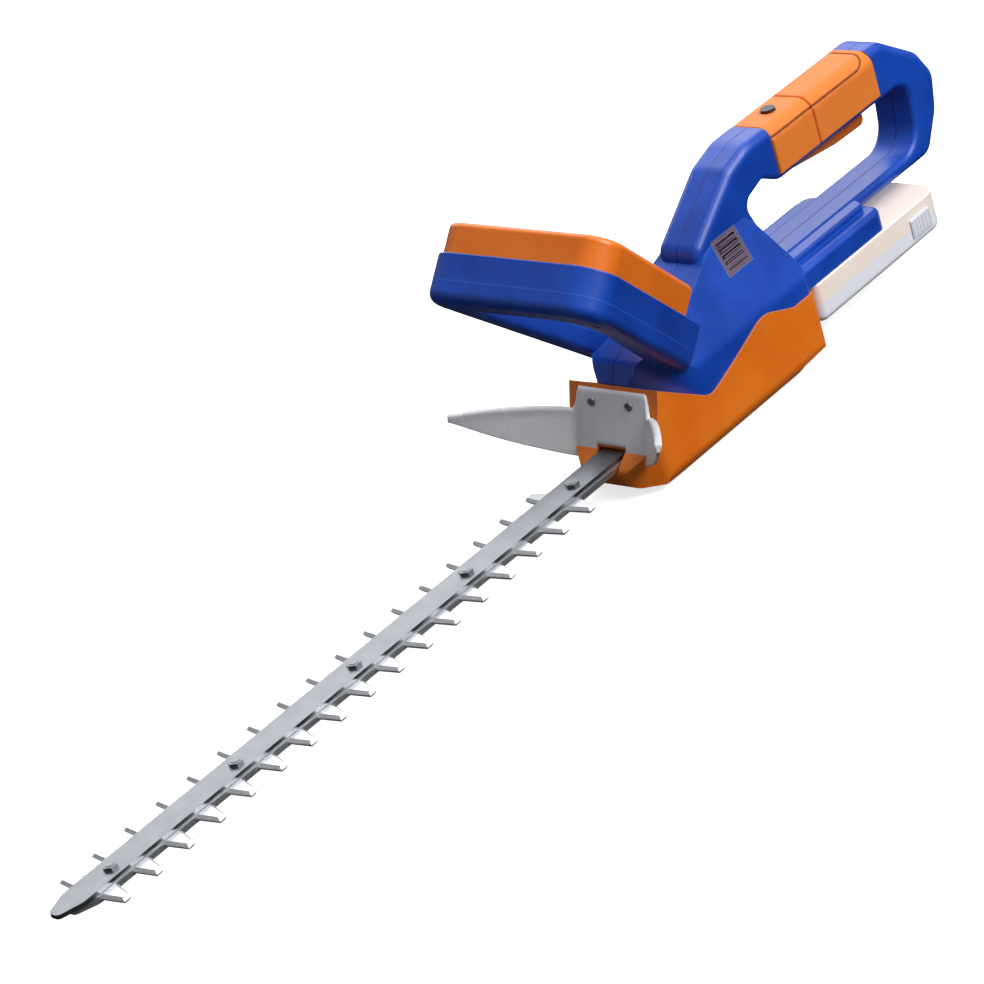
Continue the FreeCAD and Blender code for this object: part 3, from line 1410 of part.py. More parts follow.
make_casings()
make_screws()
grip_pad("grip_pad_rear", size("grip_rear"), size("grip_joint") - 0.5)
grip_pad("grip_pad_front", size("grip_joint") + 0.5, size("grip_front"))
make_front_handle()
make_front_switch()
make_guard()
blade("upper_blade", blade_high - size("blade_thick"), True)
blade("lower_blade", blade_low, False)
make_guide_bar()
make_gears()
make_drive_train()
make_gearbox()
make_motor()
make_trigger()
make_lock_off()
make_rear_switch()
make_pack()
make_electrics()
doc.recompute()

for item in doc.Objects:
    if "Invalid" in item.State or "Error" in item.State:
        raise RuntimeError(f"{item.Label} did not build: {item.State}")
for label, item in NODES.items():
    if item.Shape.isNull() or not item.Shape.isValid():
        raise RuntimeError(f"{label} has no valid shape")

os.makedirs("parts", exist_ok=True)
for label, item in NODES.items():
    item.Shape.exportStep(os.path.join("parts", f"{label}.step"))
    print(label, len(item.Shape.Solids), round(item.Shape.Volume))
print(len(NODES), "nodes")
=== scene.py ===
# %% [markdown]
# # A cordless hedge trimmer, finished in Blender
#
# The mechanical model arrives as a fixed frame: every shell, gear, blade and button
# stands where it belongs, in metres, with +X along the blades, +Y to the user's left
# and +Z up. This lesson gives it its looks. Each step first says what the real piece
# is, how it could be made, and why one way was chosen.

# %% Load the frame
import math

import bmesh
import bpy
from mathutils import Matrix, Vector


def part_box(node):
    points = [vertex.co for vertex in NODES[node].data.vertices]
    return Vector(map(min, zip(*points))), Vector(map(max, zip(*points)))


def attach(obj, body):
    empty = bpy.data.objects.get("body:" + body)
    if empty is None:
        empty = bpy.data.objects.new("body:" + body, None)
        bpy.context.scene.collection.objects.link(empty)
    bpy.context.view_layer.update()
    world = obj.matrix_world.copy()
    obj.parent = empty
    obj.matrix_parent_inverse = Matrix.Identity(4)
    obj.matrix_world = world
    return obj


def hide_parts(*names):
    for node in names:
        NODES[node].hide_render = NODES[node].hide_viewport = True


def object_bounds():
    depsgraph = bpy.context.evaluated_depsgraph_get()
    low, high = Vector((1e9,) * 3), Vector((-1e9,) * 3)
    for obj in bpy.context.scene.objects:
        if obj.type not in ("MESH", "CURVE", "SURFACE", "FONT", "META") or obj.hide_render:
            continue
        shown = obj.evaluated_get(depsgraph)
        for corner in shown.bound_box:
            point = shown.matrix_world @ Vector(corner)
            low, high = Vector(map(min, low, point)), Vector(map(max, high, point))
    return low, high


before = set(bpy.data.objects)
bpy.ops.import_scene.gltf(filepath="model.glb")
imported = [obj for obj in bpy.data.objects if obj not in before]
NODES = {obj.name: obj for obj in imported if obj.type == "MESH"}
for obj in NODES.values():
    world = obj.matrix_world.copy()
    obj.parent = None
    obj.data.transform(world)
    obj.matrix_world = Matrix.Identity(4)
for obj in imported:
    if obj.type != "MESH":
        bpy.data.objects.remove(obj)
cad_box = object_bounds()
MM = 0.001
low, high = (Vector(corner) for corner in cad_box)
centre = (low + high) / 2
print("frame:", len(NODES), "nodes, size", [round(side, 4) for side in high - low])

# %% [markdown]
# ## The camera
#
# A product shot of a long tool is taken with a long lens from a few metres away, so
# that the blades do not balloon towards the viewer. The camera could be aimed with a
# Track To constraint, but the tool here leans in the frame, which needs a roll about
# the line of sight. So its matrix is built from three unit vectors: back towards the
# lens, right, and up, and the roll mixes the last two.

# %% Place the camera
AZIMUTH = math.radians(48.73)
ELEVATION = math.radians(26.4)
ROLL = math.radians(-17.8)
DISTANCE = 2.43
FOCAL_LENGTH = 137.4          # in millimetres, on a sensor 36 mm wide
FAR_CLIP = 20.0
AIM = Vector((0.1629, -0.0507, 0.0285))


def direction(azimuth, elevation):
    """Unit vector towards a place in the sky, azimuth turned from +X towards +Y."""
    flat = math.cos(elevation)
    return Vector((flat * math.cos(azimuth), flat * math.sin(azimuth), math.sin(elevation)))


def aimed(place, target, roll=0.0):
    """Matrix of a camera or lamp at a place that looks at a target."""
    back = (place - target).normalized()
    level = Vector((0, 0, 1)).cross(back).normalized()
    right = level * math.cos(roll) + back.cross(level) * math.sin(roll)
    turn = Matrix((right, back.cross(right), back)).transposed().to_4x4()
    return Matrix.Translation(place) @ turn


lens = bpy.data.cameras.new("studio_lens")
lens.lens = FOCAL_LENGTH
lens.clip_end = FAR_CLIP
camera = bpy.data.objects.new("studio_camera", lens)
camera.matrix_world = aimed(AIM + direction(AZIMUTH, ELEVATION) * DISTANCE, AIM, ROLL)
bpy.context.scene.collection.objects.link(camera)
bpy.context.scene.camera = camera
print("camera at", [round(value, 3) for value in camera.matrix_world.translation])

# %% [markdown]
# ## Colours and nodes
#
# Colours are written as the hex values a designer would pick, which are sRGB, while
# the shader works with linear light, so one function converts them. A second small
# function adds any node: its settings, then its inputs, each a plain value or the
# output of an earlier node.

# %% Colour and node helpers


def to_linear(code):
    """Linear RGBA of an sRGB hex colour such as #2850C0."""
    channels = [int(code[start:start + 2], 16) / 255 for start in (1, 3, 5)]
    linear = [value / 12.92 if value <= 0.04045 else ((value + 0.055) / 1.055) ** 2.4
              for value in channels]
    return (*linear, 1.0)


def add_node(tree, kind, inputs=None, **settings):
    """Adds a node; inputs maps a socket's name or number to a value or an output."""
    node = tree.nodes.new(kind)
    for name, value in settings.items():
        setattr(node, name, value)
    for key, value in (inputs or {}).items():
        if isinstance(value, bpy.types.NodeSocket):
            tree.links.new(value, node.inputs[key])
        else:
            node.inputs[key].default_value = value
    return node


def new_material(name):
    """An empty material with its shader already joined to the output."""
    material = bpy.data.materials.new(name)
    material.use_nodes = True
    tree = material.node_tree
    tree.nodes.clear()
    shader = add_node(tree, "ShaderNodeBsdfPrincipled")
    add_node(tree, "ShaderNodeOutputMaterial", {"Surface": shader.outputs["BSDF"]})
    return material, tree, shader


def join(tree, output, shader, socket):
    """Links an output to one of the shader's sockets."""
    tree.links.new(output, shader.inputs[socket])


print("mid grey in linear light:", [round(value, 3) for value in to_linear("#808080")])

# %% [markdown]
# ## Floor and light
#
# The tool is shown on a seamless pale sheet under soft boxes. The sheet glows a little
# and is hidden from bounced light, so it stays white without lighting the tool from
# below. A small lamp would draw hard shadows, so the lamps are large area lights. The
# key light stands to the tool's left and a little behind, which leaves the faces
# towards the blades in shade. A wide card opposite the camera gives the steel
# something bright to mirror, and a third lamp fills from overhead. The sky is even
# above and dim below, as over a bench.

# %% Build the floor and the lamps
FLOOR_SIZE = 14.0
FLOOR_GLOW = 0.72
PAPER_FIBRE = 0.9 * MM
SKY_ABOVE, SKY_BELOW = 0.28, 0.03
SKY_FADE = (-0.3, 0.15)       # heights of the line of sight between which it fades
# name, azimuth and elevation in degrees, distance, width and height in metres, watts
LAMPS = [("key_box", 112, 42, 1.9, 1.1, 1.1, 35),
         ("back_card", 229, 30, 2.3, 2.6, 1.3, 26),
         ("top_box", 150, 75, 2.2, 1.6, 1.6, 18)]
bpy.context.scene.view_settings.view_transform = "Standard"


def make_floor():
    """A plain pale sheet that the tool stands on."""
    material, tree, shader = new_material("matt_paper")
    place = add_node(tree, "ShaderNodeTexCoord").outputs["Object"]
    fibre = add_node(tree, "ShaderNodeTexNoise", {"Vector": place, "Scale": 1 / PAPER_FIBRE})
    bump = add_node(tree, "ShaderNodeBump", {"Height": fibre.outputs[0], "Strength": 0.04,
                                             "Distance": 0.1 * MM})
    join(tree, bump.outputs[0], shader, "Normal")
    shader.inputs["Base Color"].default_value = to_linear("#FAFAF9")
    shader.inputs["Roughness"].default_value = 0.95
    shader.inputs["Specular IOR Level"].default_value = 0.1
    shader.inputs["Emission Color"].default_value = to_linear("#FFFFFF")
    shader.inputs["Emission Strength"].default_value = FLOOR_GLOW
    half = FLOOR_SIZE / 2
    mesh = bpy.data.meshes.new("floor_sheet")
    corners = [(-half, -half, low.z), (half, -half, low.z), (half, half, low.z), (-half, half, low.z)]
    mesh.from_pydata(corners, [], [(0, 1, 2, 3)])
    mesh.materials.append(material)
    floor = bpy.data.objects.new("floor_sheet", mesh)
    floor.visible_diffuse = False
    floor.visible_glossy = False
    bpy.context.scene.collection.objects.link(floor)


def make_lamp(name, azimuth, elevation, distance, width, height, power):
    """A soft box at a place in the sky, facing the tool."""
    light = bpy.data.lights.new(name, "AREA")
    light.shape = "RECTANGLE"
    light.size = width
    light.size_y = height
    light.energy = power
    lamp = bpy.data.objects.new(name, light)
    place = centre + direction(math.radians(azimuth), math.radians(elevation)) * distance
    lamp.matrix_world = aimed(place, centre)
    bpy.context.scene.collection.objects.link(lamp)


def make_sky():
    """Even light from above, fading to a dim one from below, as over a bench."""
    world = bpy.data.worlds.new("white_room")
    world.use_nodes = True
    tree = world.node_tree
    view = add_node(tree, "ShaderNodeTexCoord").outputs["Generated"]
    height = add_node(tree, "ShaderNodeSeparateXYZ", {0: view}).outputs["Z"]
    climb = add_node(tree, "ShaderNodeMapRange", {"Value": height, 1: SKY_FADE[0], 2: SKY_FADE[1],
                                                  3: SKY_BELOW, 4: SKY_ABOVE})
    background = tree.nodes["Background"]
    background.inputs["Color"].default_value = to_linear("#F6F8FF")
    tree.links.new(climb.outputs[0], background.inputs["Strength"])
    bpy.context.scene.world = world


make_floor()
for lamp_values in LAMPS:
    make_lamp(*lamp_values)
make_sky()

# %% [markdown]
# ## Moulded ABS: the blue and orange shells
#
# The casings are ABS, injection moulded in a spark-eroded steel tool. That gives the eye
# a satin skin with a fine sandy grain, a faint cloudiness where the melt met, and a
# parting line where the two halves close. The edges are painted paler, a painted
# highlight that stands in for the light a rounded edge catches.
# The grain on the real part is 0.1 mm and would vanish here, so it is drawn at
# 0.5 mm. A Bevel node finds the edges: where a softened normal leaves the true one,
# there is an edge.

# %% Moulded ABS
ABS_CLOUD = 45 * MM
ABS_GRAIN = 0.5 * MM
# Width of the painted edge highlight.
EDGE_HIGHLIGHT_RADIUS = 0.9 * MM
SEAM_HALF = 0.35 * MM
# The second colour of each finish is a painted highlight for its edges.
BLUE = ("#0E49B6", "#3F82F0", "#0A3C9E")        # body, painted edge highlight, cloud
ORANGE = ("#EE7C1C", "#FFA95C", "#E47014")


def edge_mask(tree, radius):
    """1 on outer and inner edges, 0 on open faces."""
    soft = add_node(tree, "ShaderNodeBevel", {"Radius": radius}, samples=4)
    true = add_node(tree, "ShaderNodeNewGeometry")
    match = add_node(tree, "ShaderNodeVectorMath", {0: soft.outputs[0], 1: true.outputs["Normal"]},
                     operation="DOT_PRODUCT")
    ramp = add_node(tree, "ShaderNodeMapRange", {"Value": match.outputs["Value"], 1: 0.998, 2: 0.90,
                                                 3: 0.0, 4: 1.0})
    return ramp.outputs[0]


def seam_mask(tree, place):
    """1 on the middle plane, where the left and right halves meet."""
    split = add_node(tree, "ShaderNodeSeparateXYZ", {0: place})
    away = add_node(tree, "ShaderNodeMath", {0: split.outputs["Y"]}, operation="ABSOLUTE")
    ramp = add_node(tree, "ShaderNodeMapRange", {"Value": away.outputs[0], 1: SEAM_HALF,
                                                 2: SEAM_HALF * 1.8, 3: 1.0, 4: 0.0})
    return ramp.outputs[0]


def moulded_abs(name, colour, edge_highlight, shade, roughness=0.36, seam=True):
    """Satin ABS: the colour, a paler painted highlight on its edges and its deeper cloud."""
    material, tree, shader = new_material(name)
    place = add_node(tree, "ShaderNodeTexCoord").outputs["Object"]
    cloud = add_node(tree, "ShaderNodeTexNoise", {"Vector": place, "Scale": 1 / ABS_CLOUD, "Detail": 3.0})
    tone = add_node(tree, "ShaderNodeMapRange", {"Value": cloud.outputs[0], 1: 0.35, 2: 0.65})
    body = add_node(tree, "ShaderNodeMix", {0: tone.outputs[0], 6: to_linear(shade), 7: to_linear(colour)},
                    data_type="RGBA")
    # Painted highlight: the edges are mixed towards the paler colour, as if catching light.
    edges = add_node(tree, "ShaderNodeMath", {0: edge_mask(tree, EDGE_HIGHLIGHT_RADIUS), 1: 0.55}, operation="MULTIPLY")
    with_edge_highlight = add_node(tree, "ShaderNodeMix", {0: edges.outputs[0], 6: body.outputs[2], 7: to_linear(edge_highlight)},
                    data_type="RGBA")
    grain = add_node(tree, "ShaderNodeTexNoise", {"Vector": place, "Scale": 1 / ABS_GRAIN, "Detail": 2.0})
    polish = add_node(tree, "ShaderNodeMapRange", {"Value": cloud.outputs[0], 1: 0.3, 2: 0.7,
                                                   3: roughness - 0.05, 4: roughness + 0.07})
    bump = add_node(tree, "ShaderNodeBump", {"Height": grain.outputs[0], "Strength": 0.12,
                                             "Distance": 0.06 * MM})
    normal, final = bump.outputs[0], with_edge_highlight.outputs[2]
    if seam:
        line = seam_mask(tree, place)
        final = add_node(tree, "ShaderNodeMix", {0: line, 6: final, 7: to_linear(shade)},
                         data_type="RGBA", blend_type="MULTIPLY").outputs[2]
        normal = add_node(tree, "ShaderNodeBump", {"Height": line, "Normal": normal, "Strength": 0.6,
                                                   "Distance": 0.3 * MM}, invert=True).outputs[0]
    join(tree, final, shader, "Base Color")
    join(tree, polish.outputs[0], shader, "Roughness")
    join(tree, normal, shader, "Normal")
    shader.inputs["IOR"].default_value = 1.53
    return material


BLUE_ABS = moulded_abs("blue_moulded_abs", *BLUE)
ORANGE_ABS = moulded_abs("orange_moulded_abs", *ORANGE)
BLUE_HANDLE = moulded_abs("blue_handle_abs", *BLUE, seam=False)
ORANGE_BAR = moulded_abs("orange_switch_abs", *ORANGE, seam=False)
BLACK_ABS = moulded_abs("black_moulded_abs", "#1D1D20", "#3A3A3E", "#161618", seam=False)
VENT_ABS = moulded_abs("smoke_moulded_abs", "#6A5A6C", "#8A7A88", "#58495C", 0.5, seam=False)
ORANGE_NYLON = moulded_abs("orange_moulded_nylon", "#D2691F", "#EA9048", "#C25E1A", 0.44, seam=False)
print("moulded finishes:", [m.name for m in bpy.data.materials if "_abs" in m.name])

# %% [markdown]
# ## Soft-touch elastomer
#
# The grip is a thermoplastic elastomer moulded over the handle. It is matt and has a
# tiny leathery stipple about a millimetre across. Its grooves are painted a darker
# brown, a painted shade for the shadow inside the channels. The pads carry an attribute
# named groove, 0 on the skin and 1 at the bottom of a channel, and the painted shade follows it.

# %% Soft-touch elastomer
TPE_CLOUD = 18 * MM
TPE_STIPPLE = 1.1 * MM
# Colour of the painted shade at the bottom of a groove.
GROOVE_PAINTED_SHADE = "#5A2A0C"


def soft_elastomer(name, colour, deep):
    """Matt overmoulded grip rubber with a fine stipple and painted shade in its grooves."""
    material, tree, shader = new_material(name)
    place = add_node(tree, "ShaderNodeTexCoord").outputs["Object"]
    groove = add_node(tree, "ShaderNodeAttribute", attribute_name="groove")
    cloud = add_node(tree, "ShaderNodeTexNoise", {"Vector": place, "Scale": 1 / TPE_CLOUD, "Detail": 4.0})
    tone = add_node(tree, "ShaderNodeMapRange", {"Value": cloud.outputs[0], 1: 0.3, 2: 0.7,
                                                 3: 0.0, 4: 0.22})
    skin = add_node(tree, "ShaderNodeMix", {0: tone.outputs[0], 6: to_linear(colour), 7: to_linear(deep)},
                    data_type="RGBA")
    # Painted shade: the skin darkens towards brown where the groove attribute is high.
    groove_shaded = add_node(tree, "ShaderNodeMix", {0: groove.outputs["Fac"], 6: skin.outputs[2],
                                            7: to_linear(GROOVE_PAINTED_SHADE)}, data_type="RGBA")
    stipple = add_node(tree, "ShaderNodeTexVoronoi", {"Vector": place, "Scale": 1 / TPE_STIPPLE},
                       feature="SMOOTH_F1")
    bump = add_node(tree, "ShaderNodeBump", {"Height": stipple.outputs["Distance"], "Strength": 0.25,
                                             "Distance": 0.12 * MM})
    join(tree, groove_shaded.outputs[2], shader, "Base Color")
    join(tree, bump.outputs[0], shader, "Normal")
    shader.inputs["Roughness"].default_value = 0.58
    shader.inputs["IOR"].default_value = 1.5
    shader.inputs["Sheen Weight"].default_value = 0.12
    return material


ORANGE_TPE = soft_elastomer("orange_soft_elastomer", "#E67A20", "#C4641A")
print("grip finish:", ORANGE_TPE.name)

# %% [markdown]
# ## Milky polycarbonate
#
# The hand guard is polycarbonate with a milky smoke in it. Glass-like transmission
# alone would make it vanish on a pale sheet, so most of the light scatters in it, and
# a little passes through where it is seen square on. It bends light with an index of
# 1.585, and its gloss drifts a little over some centimetres, as on a part that has
# been wiped with a cloth.

# %% Milky polycarbonate
GLOSS_DRIFT = 60 * MM


def milky_polycarbonate(name, tint, smoke):
    """Milky plastic; smoke is the share of light that scatters, seen square on."""
    material, tree, shader = new_material(name)
    place = add_node(tree, "ShaderNodeTexCoord").outputs["Object"]
    haze = add_node(tree, "ShaderNodeTexNoise", {"Vector": place, "Scale": 1 / GLOSS_DRIFT, "Detail": 2.0})
    wipe = add_node(tree, "ShaderNodeMapRange", {"Value": haze.outputs[0], 1: 0.3, 2: 0.7,
                                                 3: 0.24, 4: 0.32})
    edge = add_node(tree, "ShaderNodeLayerWeight", {"Blend": 0.35})
    clear = add_node(tree, "ShaderNodeMapRange", {"Value": edge.outputs["Facing"], 1: 0.1, 2: 0.9,
                                                  3: 1 - smoke, 4: 0.0})
    join(tree, wipe.outputs[0], shader, "Roughness")
    join(tree, clear.outputs[0], shader, "Transmission Weight")
    shader.inputs["Base Color"].default_value = to_linear(tint)
    shader.inputs["IOR"].default_value = 1.585
    return material


MILKY_GUARD = milky_polycarbonate("smoky_clear_polycarbonate", "#F4F5F6", 0.8)
print("guard finish:", MILKY_GUARD.name)

# %% [markdown]
# ## Pale battery casings
#
# The pack's two casings are moulded in light nylon, warm above and cool grey below.
# Pale plastic lets light wander under its skin, so it gets a little subsurface
# scatter, and the fine texture is the same 0.1 mm sand drawn coarser. The edges are
# mixed towards white, a painted highlight.

# %% Pale battery casings
NYLON_CLOUD = 30 * MM
NYLON_SAND = 0.6 * MM
# Width of the painted white edge highlight.
NYLON_HIGHLIGHT_RADIUS = 0.8 * MM


def pale_nylon(name, colour, shade, glow=0.15):
    """Light textured nylon with a hint of depth and a painted white highlight on its edges."""
    material, tree, shader = new_material(name)
    place = add_node(tree, "ShaderNodeTexCoord").outputs["Object"]
    cloud = add_node(tree, "ShaderNodeTexNoise", {"Vector": place, "Scale": 1 / NYLON_CLOUD, "Detail": 3.0})
    edges = add_node(tree, "ShaderNodeMath", {0: edge_mask(tree, NYLON_HIGHLIGHT_RADIUS), 1: 0.5}, operation="MULTIPLY")
    tone = add_node(tree, "ShaderNodeMix", {0: cloud.outputs[0], 6: to_linear(colour), 7: to_linear(shade)},
                    data_type="RGBA")
    # Painted highlight: the edges are mixed towards white.
    painted_rim_highlight = add_node(tree, "ShaderNodeMix", {0: edges.outputs[0], 6: tone.outputs[2],
                                           7: to_linear("#FFFFFF")}, data_type="RGBA")
    sand = add_node(tree, "ShaderNodeTexNoise", {"Vector": place, "Scale": 1 / NYLON_SAND, "Detail": 2.0})
    bump = add_node(tree, "ShaderNodeBump", {"Height": sand.outputs[0], "Strength": 0.15,
                                             "Distance": 0.08 * MM})
    join(tree, painted_rim_highlight.outputs[2], shader, "Base Color")
    join(tree, bump.outputs[0], shader, "Normal")
    shader.inputs["Roughness"].default_value = 0.5
    shader.inputs["Subsurface Weight"].default_value = glow
    shader.inputs["Subsurface Scale"].default_value = 2 * MM
    return material


CASE_WARM = pale_nylon("warm_white_nylon", "#FFF4EA", "#FFE9DA")
CASE_COOL = pale_nylon("lavender_grey_nylon", "#F4F5FD", "#E9EAF4")
BUTTON_GREY = pale_nylon("light_grey_nylon", "#E6E7EF", "#DADBE4")
print("battery finishes:", [m.name for m in (CASE_WARM, CASE_COOL, BUTTON_GREY)])

# %% [markdown]
# ## Steels and other metals
#
# The blades are ground spring steel: fine scratches run across the blade, left by the
# grinding wheel. The guide bar is rolled, so its lines run along it. Both come from
# one noise, squeezed along the direction of the lines. Castings are sandy, turned
# pins are finished bright, and zinc plating adds a faint warm and cool cloud.
# Grinding lines are about 0.05 mm wide and are drawn at 0.3 mm.

# %% Metals
LINE_WIDE = 0.3 * MM
METAL_CLOUD = 14 * MM


def worked_metal(name, colour, cloudy, roughness, stretch, line=LINE_WIDE, depth=0.12):
    """Metal with lines; stretch is how long a line is on x, y and z against its width."""
    material, tree, shader = new_material(name)
    place = add_node(tree, "ShaderNodeTexCoord").outputs["Object"]
    squeezed = add_node(tree, "ShaderNodeMapping", {"Vector": place,
                                                    "Scale": [1 / side for side in stretch]})
    lines = add_node(tree, "ShaderNodeTexNoise", {"Vector": squeezed.outputs[0], "Scale": 1 / line,
                                                  "Detail": 3.0})
    cloud = add_node(tree, "ShaderNodeTexNoise", {"Vector": place, "Scale": 1 / METAL_CLOUD, "Detail": 4.0})
    tone = add_node(tree, "ShaderNodeMix", {0: cloud.outputs[0], 6: to_linear(colour),
                                            7: to_linear(cloudy)}, data_type="RGBA")
    gloss = add_node(tree, "ShaderNodeMapRange", {"Value": lines.outputs[0], 1: 0.3, 2: 0.7,
                                                  3: roughness - 0.06, 4: roughness + 0.1})
    bump = add_node(tree, "ShaderNodeBump", {"Height": lines.outputs[0], "Strength": depth,
                                             "Distance": 0.1 * MM})
    join(tree, tone.outputs[2], shader, "Base Color")
    join(tree, gloss.outputs[0], shader, "Roughness")
    join(tree, bump.outputs[0], shader, "Normal")
    shader.inputs["Metallic"].default_value = 1.0
    return material


ACROSS, ALONG, EVEN = (1, 40, 40), (40, 1, 40), (1, 1, 1)
GROUND_STEEL = worked_metal("ground_spring_steel", "#F0F1F3", "#E2E4E7", 0.42, ACROSS)
HONED_STEEL = worked_metal("honed_edge_steel", "#FCFCFD", "#F4F5F6", 0.55, ACROSS, depth=0.05)
ROLLED_STEEL = worked_metal("rolled_steel", "#8E9095", "#7A7D82", 0.34, ALONG)
ZINC_STEEL = worked_metal("zinc_plated_steel", "#B9BCC2", "#A8A8A0", 0.28, EVEN)
BOLT_STEEL = worked_metal("turned_bolt_steel", "#AEB0B4", "#8F9196", 0.24, EVEN)
CAST_ALUMINIUM = worked_metal("die_cast_aluminium", "#B6B8BA", "#9C9EA1", 0.46, EVEN, 0.8 * MM, 0.3)
GEAR_STEEL = worked_metal("hardened_gear_steel", "#77797D", "#5E6064", 0.32, EVEN)
BRONZE = worked_metal("sintered_bronze", "#B08A52", "#8E6C3C", 0.45, EVEN, 0.5 * MM, 0.25)
COPPER = worked_metal("bare_copper", "#C67B4E", "#B0653B", 0.3, EVEN)
SPRING_STEEL = worked_metal("drawn_spring_steel", "#8D8F93", "#6F7175", 0.25, EVEN)
NICKEL = worked_metal("nickel_strip", "#C9C7BF", "#B4B2AA", 0.26, ALONG)
FERRITE = worked_metal("sintered_ferrite", "#2E2E31", "#232326", 0.6, EVEN, 0.4 * MM, 0.2)
print("metals:", [m.name for m in bpy.data.materials if "steel" in m.name])

# %% [markdown]
# ## Wires, sleeves and the circuit board
#
# These sit inside the casings and show when the pack is slid off or a cover is taken
# away. Wire insulation is soft vinyl, cell sleeves are shrink film, and the board is
# glass fibre under solder mask, whose weave shows faintly.

# %% Inner plastics


def film(name, colour, deep, roughness, ripple):
    """Thin smooth plastic with a ripple of a given size."""
    material, tree, shader = new_material(name)
    place = add_node(tree, "ShaderNodeTexCoord").outputs["Object"]
    wave = add_node(tree, "ShaderNodeTexNoise", {"Vector": place, "Scale": 1 / ripple, "Detail": 2.0})
    tone = add_node(tree, "ShaderNodeMix", {0: wave.outputs[0], 6: to_linear(colour), 7: to_linear(deep)},
                    data_type="RGBA")
    bump = add_node(tree, "ShaderNodeBump", {"Height": wave.outputs[0], "Strength": 0.15,
                                             "Distance": 0.2 * MM})
    join(tree, tone.outputs[2], shader, "Base Color")
    join(tree, bump.outputs[0], shader, "Normal")
    shader.inputs["Roughness"].default_value = roughness
    return material


RED_VINYL = film("red_vinyl", "#B01A14", "#961410", 0.42, 4 * MM)
BLACK_VINYL = film("black_vinyl", "#1A1A1C", "#101012", 0.42, 4 * MM)
GREEN_SLEEVE = film("green_shrink_sleeve", "#3F9460", "#317A4E", 0.3, 9 * MM)
SOLDER_MASK = film("green_solder_mask", "#175232", "#10402A", 0.38, 1.2 * MM)
print("inner plastics:", [m.name for m in (RED_VINYL, BLACK_VINYL, GREEN_SLEEVE, SOLDER_MASK)])

# %% [markdown]
# ## Dress the frame
#
# Pieces whose shape is right already stay as they are and only get a finish. The
# table goes from each finish to the pieces made of it. The two grip pads and the hand
# guard are in it as well, though pieces modelled below take their place.

# %% Give every node its finish
FINISHES = {
    BLUE_ABS: ["housing_left", "housing_right"],
    BLUE_HANDLE: ["front_handle_front", "front_handle_rear"],
    ORANGE_ABS: ["belly_left", "belly_right"],
    ORANGE_BAR: ["front_switch_bar"],
    ORANGE_TPE: ["grip_pad_front", "grip_pad_rear"],
    ORANGE_NYLON: ["rear_trigger"],
    MILKY_GUARD: ["hand_guard"],
    VENT_ABS: ["vent_left", "vent_right"],
    BLACK_ABS: ["lock_off_button", "rear_switch", "front_switch", "terminal_block", "motor_end_cap",
                "cooling_fan", "cell_frame"],
    CASE_WARM: ["battery_case_top"],
    CASE_COOL: ["battery_case_bottom"],
    BUTTON_GREY: ["release_button_left", "release_button_right"],
    GREEN_SLEEVE: ["battery_cells"],
    NICKEL: ["cell_straps"],
    COPPER: ["terminal_blades", "armature"],
    SOLDER_MASK: ["control_board"],
    GROUND_STEEL: ["upper_blade", "lower_blade"],
    ROLLED_STEEL: ["guide_bar", "blade_bolts", "blade_nuts"],
    BOLT_STEEL: ["trigger_pin", "gear_shaft", "motor_shaft"],
    ZINC_STEEL: ["housing_screws", "belly_screws", "front_handle_screws", "guard_screws", "battery_screws",
                 "gearbox_screws", "guide_bar_screws", "motor_can", "motor_mount"],
    CAST_ALUMINIUM: ["gearbox_base", "gearbox_cover"],
    GEAR_STEEL: ["drive_gear", "pinion", "upper_cam", "lower_cam"],
    BRONZE: ["upper_bearing", "lower_bearing"],
    FERRITE: ["motor_magnets"],
    SPRING_STEEL: ["trigger_spring", "lock_off_spring"],
    RED_VINYL: ["motor_leads", "battery_leads"],
    BLACK_VINYL: ["switch_leads"],
}


def dress(piece, material):
    """Gives every material slot of a piece one finish."""
    if not piece.material_slots:
        piece.data.materials.append(material)
    for slot in piece.material_slots:
        slot.material = material


for material, names in FINISHES.items():
    for name in names:
        dress(NODES[name], material)
dressed = sum(len(names) for names in FINISHES.values())
print("dressed", dressed, "of", len(NODES), "nodes;",
      "left:", sorted(set(NODES) - {name for names in FINISHES.values() for name in names}))

# %% [markdown]
# ## Solid sheets
#
# A guard or a soft pad is a curved sheet with a skin on both sides. A cage under a
# Subdivision modifier could make it, but a fine channel or a rounded rim would need
# many extra loops. Instead one function takes two grids of places, the outer skin and
# the inner one, and closes them round the border, so any rule that moves a place
# along its normal becomes a real dent.

# %% Sheet and curve helpers
SHEET_CREASE = math.radians(50)


def link_mesh(name, mesh):
    """An object for a mesh, in the scene, shaded smooth but with its hard edges kept."""
    mesh.polygons.foreach_set("use_smooth", [True] * len(mesh.polygons))
    mesh.set_sharp_from_angle(angle=SHEET_CREASE)
    piece = bpy.data.objects.new(name, mesh)
    bpy.context.scene.collection.objects.link(piece)
    return piece


